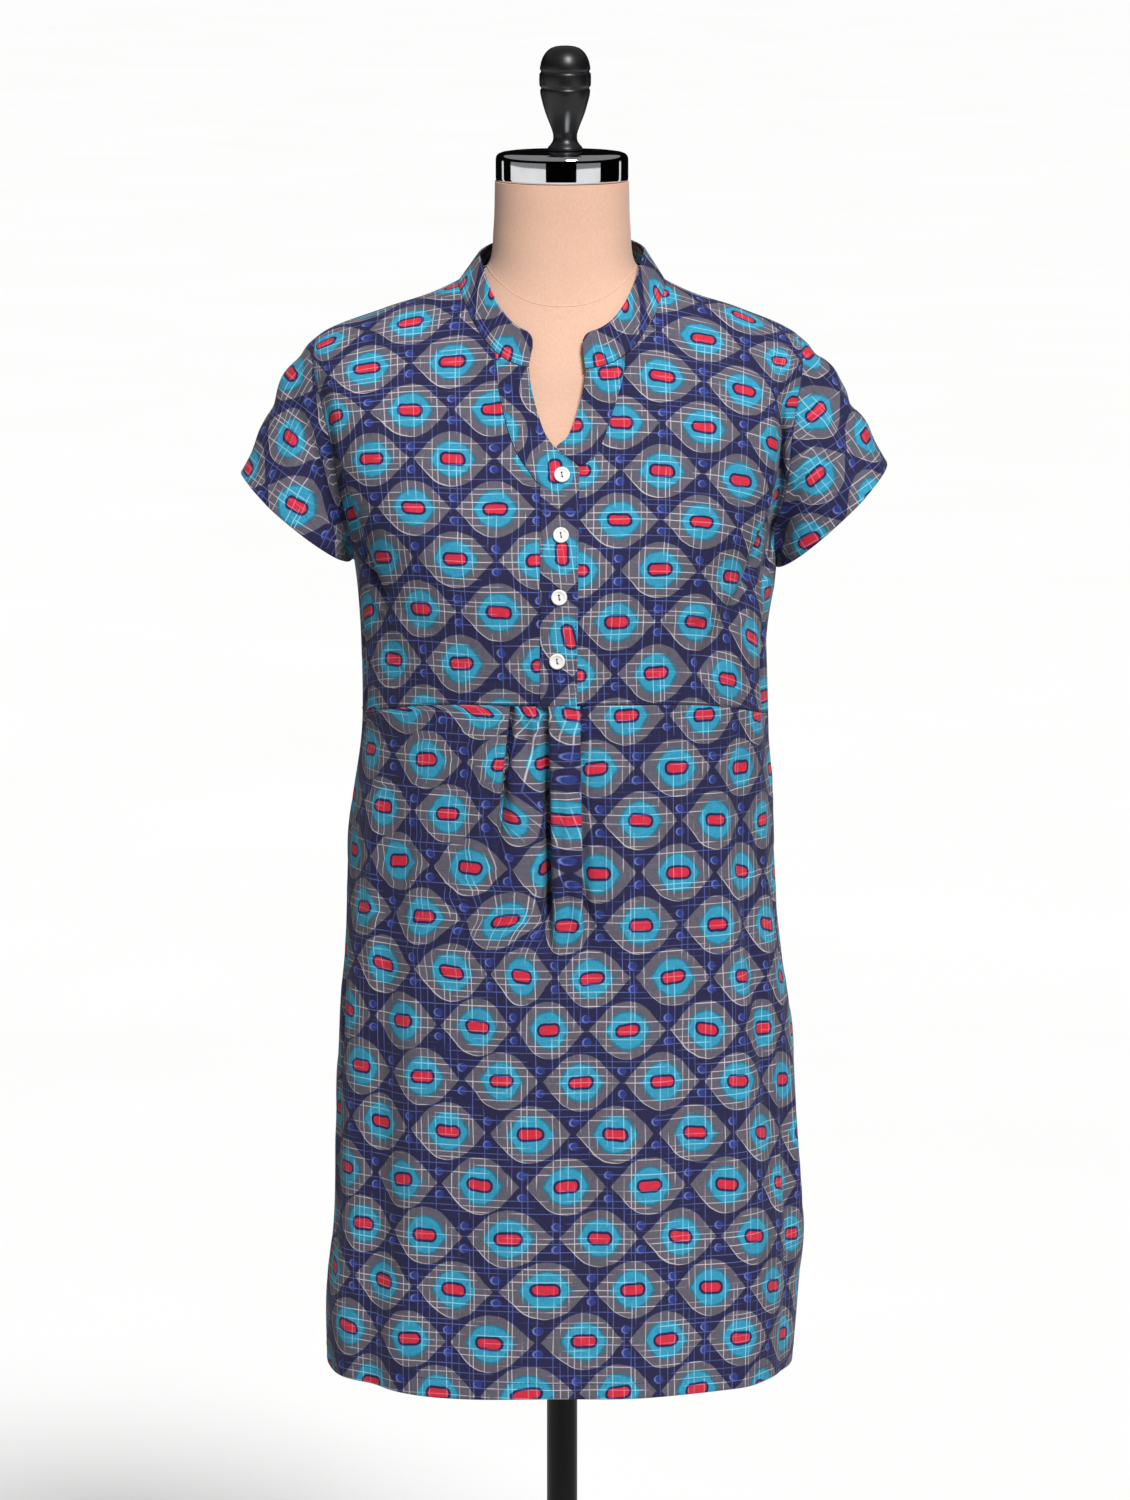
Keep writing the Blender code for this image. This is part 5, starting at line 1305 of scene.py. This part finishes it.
blank = turned("button_blank", [(height * BUTTON_HEIGHT, radius * BUTTON_RADIUS)
                                for height, radius in BUTTON_PROFILE], 48, button_resin)
drills = []
for way in (-1, 1):
    drill = turned("button_drill", ((0.004, 0.0), (0.004, BUTTON_HOLE_RADIUS),
                                    (-0.002, BUTTON_HOLE_RADIUS), (-0.002, 0.0)), 14,
                   button_resin)
    drill.data.transform(Matrix.Translation((way * BUTTON_HOLE_SPACING / 2, 0, 0)))
    hole = blank.modifiers.new("hole", "BOOLEAN")
    hole.operation = "DIFFERENCE"
    hole.object = drill
    drills.append(drill)
for number, (x, z) in enumerate(BUTTONS, start=1):
    row = row_at(np.array([z]))
    angle = angle_at(np.array([x]), row)
    seat = cloth(angle, row, np.array([STRIP_LIFT + STRIP_WALL / 2 + BUTTON_LIFT]))[0]
    out = Vector(outward(angle, row)[0])
    turn = out.to_track_quat("Z", "Y").to_matrix().to_4x4().to_euler()
    turn.rotate_axis("Z", radians(BUTTON_TILT))
    matrix = turn.to_matrix().to_4x4()
    matrix.translation = seat
    button = settled(blank, f"button_{number}_resin", matrix)
    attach(button, "root")
    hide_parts(f"button_{number}")
    strands = bmesh.new()
    along = np.linspace(-1, 1, 9)
    rise = (BUTTON_HEIGHT * 0.70 + STRAND_ARCH * (1 - along ** 4)
            - STRAND_DIVE * np.maximum(0, np.abs(along) - 0.8) / 0.2)
    for aside in (-STRAND_ASIDE, STRAND_ASIDE):
        middle = np.stack((along * BUTTON_HOLE_SPACING / 2, 0 * along + aside, rise), axis=1)
        rings = strand_rings(strands, middle, (0.0, 1.0, 0.0), (0.0, 0.0, 1.0), STRAND_RADIUS)
        join_rings(strands, rings)
        strands.faces.new(rings[0])
        strands.faces.new(rings[-1][::-1])
    thread = finished(strands, f"button_thread_{number}", sewing_thread, place=matrix)
    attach(thread, "root")
for spare in [blank] + drills:
    bpy.data.objects.remove(spare, do_unlink=True)


# Stitches. Rows of machine stitches in navy thread, laid on the cloth along its seams and edges:
# one small strand for each stitch, set along the line by Geometry Nodes.
STITCH_PITCH = 0.0034
STITCH_LENGTH = 0.0027
STITCH_THICKNESS = 0.00042
STITCH_FROM_EDGE = 0.0016
YOKE_STITCH_ROW = YOKE_SEAM - 0.017     # the section along which the yokes are stitched down
HEM_STITCH_ROW = HEM - 0.21             # and the hem
# Spun polyester sewing thread, navy, softly shining; its twist is drawn twice as coarse.
navy_thread, tree, shader = new_material("navy_sewing_thread", 0.55)
mottle(tree, shader, "1A1B38", "45487A", Scale=1800.0, Detail=1.0)

stitch_row = bpy.data.node_groups.new("stitch_row", "GeometryNodeTree")
stitch_row.is_modifier = True
stitch_sizes = {"Pitch": STITCH_PITCH, "Length": STITCH_LENGTH, "Thickness": STITCH_THICKNESS}
stitch_row.interface.new_socket("Line", in_out="INPUT", socket_type="NodeSocketGeometry")
stitch_inputs = {}
for name in stitch_sizes:
    socket = stitch_row.interface.new_socket(name, in_out="INPUT", socket_type="NodeSocketFloat")
    stitch_inputs[name] = socket.identifier
stitch_row.interface.new_socket("Stitches", in_out="OUTPUT", socket_type="NodeSocketGeometry")
given = add_node(stitch_row, "NodeGroupInput")
line = add_node(stitch_row, "GeometryNodeMeshToCurve", {"Mesh": given.outputs["Line"]})
spaced = add_node(stitch_row, "GeometryNodeCurveToPoints",
                  {"Curve": line, "Length": given.outputs["Pitch"]}, mode="LENGTH")
strand = add_node(stitch_row, "GeometryNodeMeshUVSphere",
                  {"Segments": 6, "Rings": 4, "Radius": 0.5})
uneven = add_node(stitch_row, "FunctionNodeRandomValue", {2: 0.86, 3: 1.1, "Seed": 7},
                  data_type="FLOAT")
length = add_node(stitch_row, "ShaderNodeMath", {0: given.outputs["Length"],
                                                 1: uneven.outputs[1]}, operation="MULTIPLY")
size = add_node(stitch_row, "ShaderNodeCombineXYZ", {0: given.outputs["Thickness"],
                                                     1: given.outputs["Thickness"], 2: length})
placed = add_node(stitch_row, "GeometryNodeInstanceOnPoints",
                  {"Points": spaced.outputs["Points"], "Instance": strand.outputs["Mesh"],
                   "Rotation": spaced.outputs["Rotation"], "Scale": size})
real = add_node(stitch_row, "GeometryNodeRealizeInstances", {"Geometry": placed})
sewn = add_node(stitch_row, "GeometryNodeSetMaterial", {"Geometry": real,
                                                        "Material": navy_thread})
add_node(stitch_row, "NodeGroupOutput", {"Stitches": sewn})


def sew(name, lines):
    """Stitches along lines on the cloth, as one piece."""
    mesh = bpy.data.meshes.new(name + "_line")
    places, edges = [], []
    for line in lines:
        edges += [(len(places) + step, len(places) + step + 1) for step in range(len(line) - 1)]
        places += np.asarray(line).tolist()
    mesh.from_pydata(places, edges, [])
    thing = bpy.data.objects.new(name + "_line", mesh)
    scene.collection.objects.link(thing)
    nodes = thing.modifiers.new("stitches", "NODES")
    nodes.node_group = stitch_row
    for label, value in stitch_sizes.items():
        nodes[stitch_inputs[label]] = value
    piece = settled(thing, name)
    bpy.data.objects.remove(thing, do_unlink=True)
    piece.data.shade_smooth()
    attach(piece, "root")


ON_CLOTH = WALL / 2 + STITCH_THICKNESS * 0.3
ON_STRIP = STRIP_LIFT + STRIP_WALL / 2 + STITCH_THICKNESS * 0.3


def front_line(name, aside, first_z, last_z, lift, count=90):
    """Line down the front at a distance beside one of the lines round the neck."""
    rows = row_at(np.linspace(first_z, last_z, count))
    return cloth(angle_at(neck_line(name, rows) + aside, rows), rows, 0 * rows + lift)


def seam_line(row, first, last, lift=ON_CLOTH, count=90):
    """Line round the body at one section, from one angle to another."""
    angles = np.radians(np.linspace(first, last, count))
    return cloth(angles, 0 * angles + row, 0 * angles + lift)


sew("stitches_placket",
    [front_line("placket_outer", STITCH_FROM_EDGE, 1.352, 1.098, ON_STRIP),
     front_line("placket_inner", -STITCH_FROM_EDGE, 1.352, 1.098, ON_STRIP)])
sew("stitches_neck_strip_right",
    [front_line("strip_outer", -STITCH_FROM_EDGE, 1.352, 1.288, ON_STRIP, 40),
     front_line("strip_inner", STITCH_FROM_EDGE, 1.352, 1.294, ON_STRIP, 40)])
sew("stitches_yokes", [seam_line(YOKE_STITCH_ROW, -89.5, -7.6),
                       seam_line(YOKE_STITCH_ROW, 5.6, 89.5)])
sew("stitches_hem", [seam_line(HEM_STITCH_ROW, -89.5, 89.5, count=160),
                     seam_line(HEM_STITCH_ROW, 90.5, 269.5, count=160)])
inside = armhole_rows()[2:-2]
for side, name in ((-1, "left"), (1, "right")):
    lines = []
    for depth, way in ((ARMHOLE_FRONT, 1), (ARMHOLE_BACK, -1)):
        angles = radians(90) - way * (radians(depth) * armhole_share(inside) + 0.008)
        lines.append(cloth(side * angles, inside, 0 * angles + ON_CLOTH))
    sew("stitches_armhole_" + name, lines)
on_band = collar_points + collar_out * (BAND_WALL / 2 + STITCH_THICKNESS * 0.3)
sew("stitches_collar", [on_band[1], on_band[-2]])
for name, line in cuff_lines.items():
    sew("stitches_" + name, [line])


# Dress form. A moulded torso and neck without limbs, covered in close-fitting knitted cloth with
# a seam round the neck.
FORM_SECTIONS = {
    "neck_top":       (0.0536, 0.0536, 1.5000, 2.0, 0.0536, 1.5000, 0.0536, 1.5000),
    "neck_mid":       (0.0547, 0.0547, 1.4640, 2.0, 0.0548, 1.4560, 0.0548, 1.4660),
    "neck_low":       (0.0590, 0.0590, 1.4340, 2.0, 0.0600, 1.4080, 0.0530, 1.4440),
    "collar":         (0.0800, 0.0800, 1.4180, 3.0, 0.0740, 1.3570, 0.0590, 1.4270),
    "shoulder_in":    (0.1094, 0.1094, 1.4068, 2.4, 0.0800, 1.3270, 0.0720, 1.4020),
    "shoulder_mid":   (0.1445, 0.1445, 1.3958, 2.1, 0.0890, 1.2970, 0.0860, 1.3650),
    "shoulder_end":   (0.1820, 0.1800, 1.3811, 2.0, 0.0990, 1.2700, 0.0970, 1.3300),
    "shoulder_edge":  (0.1900, 0.1880, 1.3560, 2.0, 0.1080, 1.2380, 0.1030, 1.2950),
    "arm_plate":      (0.1790, 0.1790, 1.2900, 2.0, 0.1180, 1.2040, 0.1050, 1.2400),
    "underarm":       (0.1560, 0.1570, 1.1960, 2.2, 0.1220, 1.1650, 0.1020, 1.1850),
    "under_bust":     (0.1420, 0.1440, 1.1100, 3.0, 0.1100, 1.1050, 0.0940, 1.1100),
    "waist":          (0.1220, 0.1220, 1.0200, 4.0, 0.0920, 1.0200, 0.0820, 1.0200),
    "high_hip":       (0.1470, 0.1470, 0.9350, 4.0, 0.1050, 0.9350, 0.0980, 0.9350),
    "hip":            (0.1640, 0.1640, 0.8600, 4.0, 0.1160, 0.8600, 0.1120, 0.8600),
    "hip_low":        (0.1630, 0.1630, 0.8000, 4.0, 0.1150, 0.8000, 0.1130, 0.8000),
    "rim":            (0.1580, 0.1580, 0.7700, 4.0, 0.1110, 0.7700, 0.1090, 0.7700),
    "underside":      (0.1490, 0.1490, 0.7600, 4.0, 0.1030, 0.7600, 0.1010, 0.7600),
}
FORM_COLUMNS = 128
FORM_RINGS_PER_SECTION = 8
NECK_SEAM_ROW = 2.06
NECK_SEAM_RADIUS = 0.00032  # of the ridge that the seam makes
# Knitted cotton jersey stretched over the moulded form: beige, matt, slightly fuzzy. Its stitches,
# under half a millimetre, are drawn as fine flecks twice that size.
form_jersey, tree, shader = new_material("beige_cotton_jersey", 0.82, Sheen_Weight=0.2,
                                         Sheen_Roughness=0.5, Specular_IOR_Level=0.3)
where = add_node(tree, "ShaderNodeTexCoord")
knit = add_node(tree, "ShaderNodeMapping", {"Vector": where.outputs["Object"],
                                            "Scale": (1.0, 1.0, 0.45)})
knit = add_node(tree, "ShaderNodeTexNoise", {"Vector": knit, "Scale": 900.0, "Detail": 2.0})
soft = add_node(tree, "ShaderNodeTexNoise", {"Vector": where.outputs["Object"], "Scale": 9.0,
                                             "Detail": 3.0})
tint = add_node(tree, "ShaderNodeMix", {0: soft, 6: srgb("DDB097"), 7: srgb("E7BFA7")},
                data_type="RGBA")
fine = add_node(tree, "ShaderNodeMapRange", {0: knit, 1: 0.3, 2: 0.7, 3: 0.94, 4: 1.05})
tint = add_node(tree, "ShaderNodeVectorMath", {0: tint.outputs[2], "Scale": fine},
                operation="SCALE")
tree.links.new(tint.outputs[0], shader.inputs["Base Color"])
bump = add_node(tree, "ShaderNodeBump", {"Strength": 0.2, "Distance": 0.0004, "Height": knit})
tree.links.new(bump.outputs[0], shader.inputs["Normal"])

rings = (len(FORM_SECTIONS) - 1) * FORM_RINGS_PER_SECTION
rows = np.linspace(0, len(FORM_SECTIONS) - 1, rings + 1)[:, None]
angles = np.linspace(0, 2 * pi, FORM_COLUMNS, endpoint=False)[None, :]
points = section_point(FORM_SECTIONS, angles + 0 * rows, rows + 0 * angles)
shell = bmesh.new()
grid = [[shell.verts.new(place) for place in ring] for ring in points.tolist()]
top_hub, foot_hub = ([shell.verts.new(points[end].mean(axis=0))] for end in (0, -1))
join_rings(shell, [top_hub] + grid + [foot_hub])
form = finished(shell, "dress_form_cover", form_jersey, sharp=50)
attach(form, "root")
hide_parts("dress_form")
# The seam of the cover shows as a fine raised line round the foot of the neck
seam_angles = np.linspace(0, 2 * pi, 161)[:-1]
middle = section_point(FORM_SECTIONS, seam_angles, 0 * seam_angles + NECK_SEAM_ROW)
beside = unit(np.roll(middle, -1, axis=0) - np.roll(middle, 1, axis=0))
aside = unit(np.cross(beside, (0.0, 0.0, 1.0)))
above = np.cross(aside, beside)
shell = bmesh.new()
grid = strand_rings(shell, middle, aside, above, NECK_SEAM_RADIUS)
join_rings(shell, grid + grid[:1])
neck_seam = finished(shell, "dress_form_neck_seam", form_jersey)
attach(neck_seam, "root")


# Neck cap and knob. A pressed steel cap, chromed, closes the neck, and a turned knob of stained
# black wood is screwed on top of it.
CAP_PROFILE = ((0.0240, 0.0000), (0.0239, 0.0160), (0.0237, 0.0320), (0.0233, 0.0430),
               (0.0226, 0.0480), (0.0216, 0.0507), (0.0202, 0.0522), (0.0186, 0.0528),
               (0.0168, 0.0530), (0.0030, 0.0530), (0.0012, 0.0529), (0.0003, 0.0525),
               (0.0000, 0.0518), (0.0000, 0.0000))
KNOB_PROFILE = ((0.0830, 0.0000), (0.0829, 0.0040), (0.0824, 0.0078), (0.0812, 0.0112),
                (0.0795, 0.0136), (0.0770, 0.0160), (0.0738, 0.0179), (0.0700, 0.0193),
                (0.0652, 0.0202), (0.0640, 0.0200), (0.0630, 0.0193), (0.0622, 0.0193),
                (0.0612, 0.0203), (0.0600, 0.0206), (0.0560, 0.0207), (0.0520, 0.0206),
                (0.0508, 0.0202), (0.0498, 0.0193), (0.0490, 0.0192), (0.0480, 0.0199),
                (0.0465, 0.0200), (0.0435, 0.0196), (0.0400, 0.0187), (0.0350, 0.0174),
                (0.0300, 0.0159), (0.0250, 0.0140), (0.0200, 0.0120), (0.0160, 0.0105),
                (0.0125, 0.0096), (0.0095, 0.0095), (0.0070, 0.0101), (0.0045, 0.0118),
                (0.0025, 0.0136), (0.0012, 0.0141), (0.0000, 0.0140), (0.0000, 0.0000))
FORM_TOP_Z = 1.5000
KNOB_ASIDE = 0.0025         # how far the knob stands to the right of the cap's middle
# Chromium plate on pressed steel: a clean mirror, slightly blue.
cap_chrome, tree, shader = new_material("chromium_plate", 0.045, Metallic=1.0)
mottle(tree, shader, "C9CCD0", "E4E6E8", Scale=60.0, Detail=4.0)
# Beech, turned, stained black and lacquered thin: nearly matt, with a faint grain along it.
knob_wood, tree, shader = new_material("black_stained_beech", 0.36, Specular_IOR_Level=0.4)
mottle(tree, shader, "09090B", "151518", stretch=(1.0, 1.0, 0.08), bump=(0.15, 0.0003),
       Scale=900.0, Detail=3.0)

for name, profile, aside, base_z, material, slot in (
        ("neck_cap", CAP_PROFILE, 0.0, FORM_TOP_Z + GAP, cap_chrome, "cap_chrome"),
        ("knob", KNOB_PROFILE, KNOB_ASIDE, FORM_TOP_Z + CAP_PROFILE[0][0] + 2 * GAP, knob_wood,
         "knob_black")):
    piece = turned(name + "_turned", [(height + base_z, radius) for height, radius in profile],
                   96, material)
    piece.data.transform(Matrix.Translation((aside, 0.0, 0.0)))
    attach(piece, "root")
    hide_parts(name)


# Pole and base. A steel tube stands in the hub of a round steel plate, both coated black.
POLE_RADIUS = 0.0125
SOCKET_FLOOR = 0.006
BASE_PROFILE = ((0.0060, 0.0000), (0.0060, 0.0128), (0.0354, 0.0128), (0.0360, 0.0134),
                (0.0360, 0.0200), (0.0354, 0.0214), (0.0340, 0.0220), (0.0120, 0.0220),
                (0.0098, 0.0228), (0.0091, 0.0250), (0.0090, 0.1672), (0.0083, 0.1690),
                (0.0068, 0.1698), (0.0050, 0.1700), (0.0006, 0.1700), (0.0000, 0.1694),
                (0.0000, 0.0000))
pole_top = FORM_SECTIONS["underside"][2] - GAP
POLE_PROFILE = ((pole_top, 0.0), (pole_top, POLE_RADIUS - 0.0004),
                (pole_top - 0.0004, POLE_RADIUS), (SOCKET_FLOOR + GAP + 0.0004, POLE_RADIUS),
                (SOCKET_FLOOR + GAP, POLE_RADIUS - 0.0004), (SOCKET_FLOOR + GAP, 0.0))
# Polyester powder coat on steel: black, even, with a fine orange-peel surface and a soft gloss.
powder_coat, tree, shader = new_material("black_powder_coat", 0.42, Specular_IOR_Level=0.18)
mottle(tree, shader, "09090A", "101012", bump=(0.12, 0.0003), Scale=700.0, Detail=2.0)
for name, profile, steps, slot in (("pole", POLE_PROFILE, 64, "pole_black"),
                                   ("base", BASE_PROFILE, 128, "base_black")):
    piece = turned(name + "_coated", profile, steps, powder_coat)
    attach(piece, "root")
    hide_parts(name)
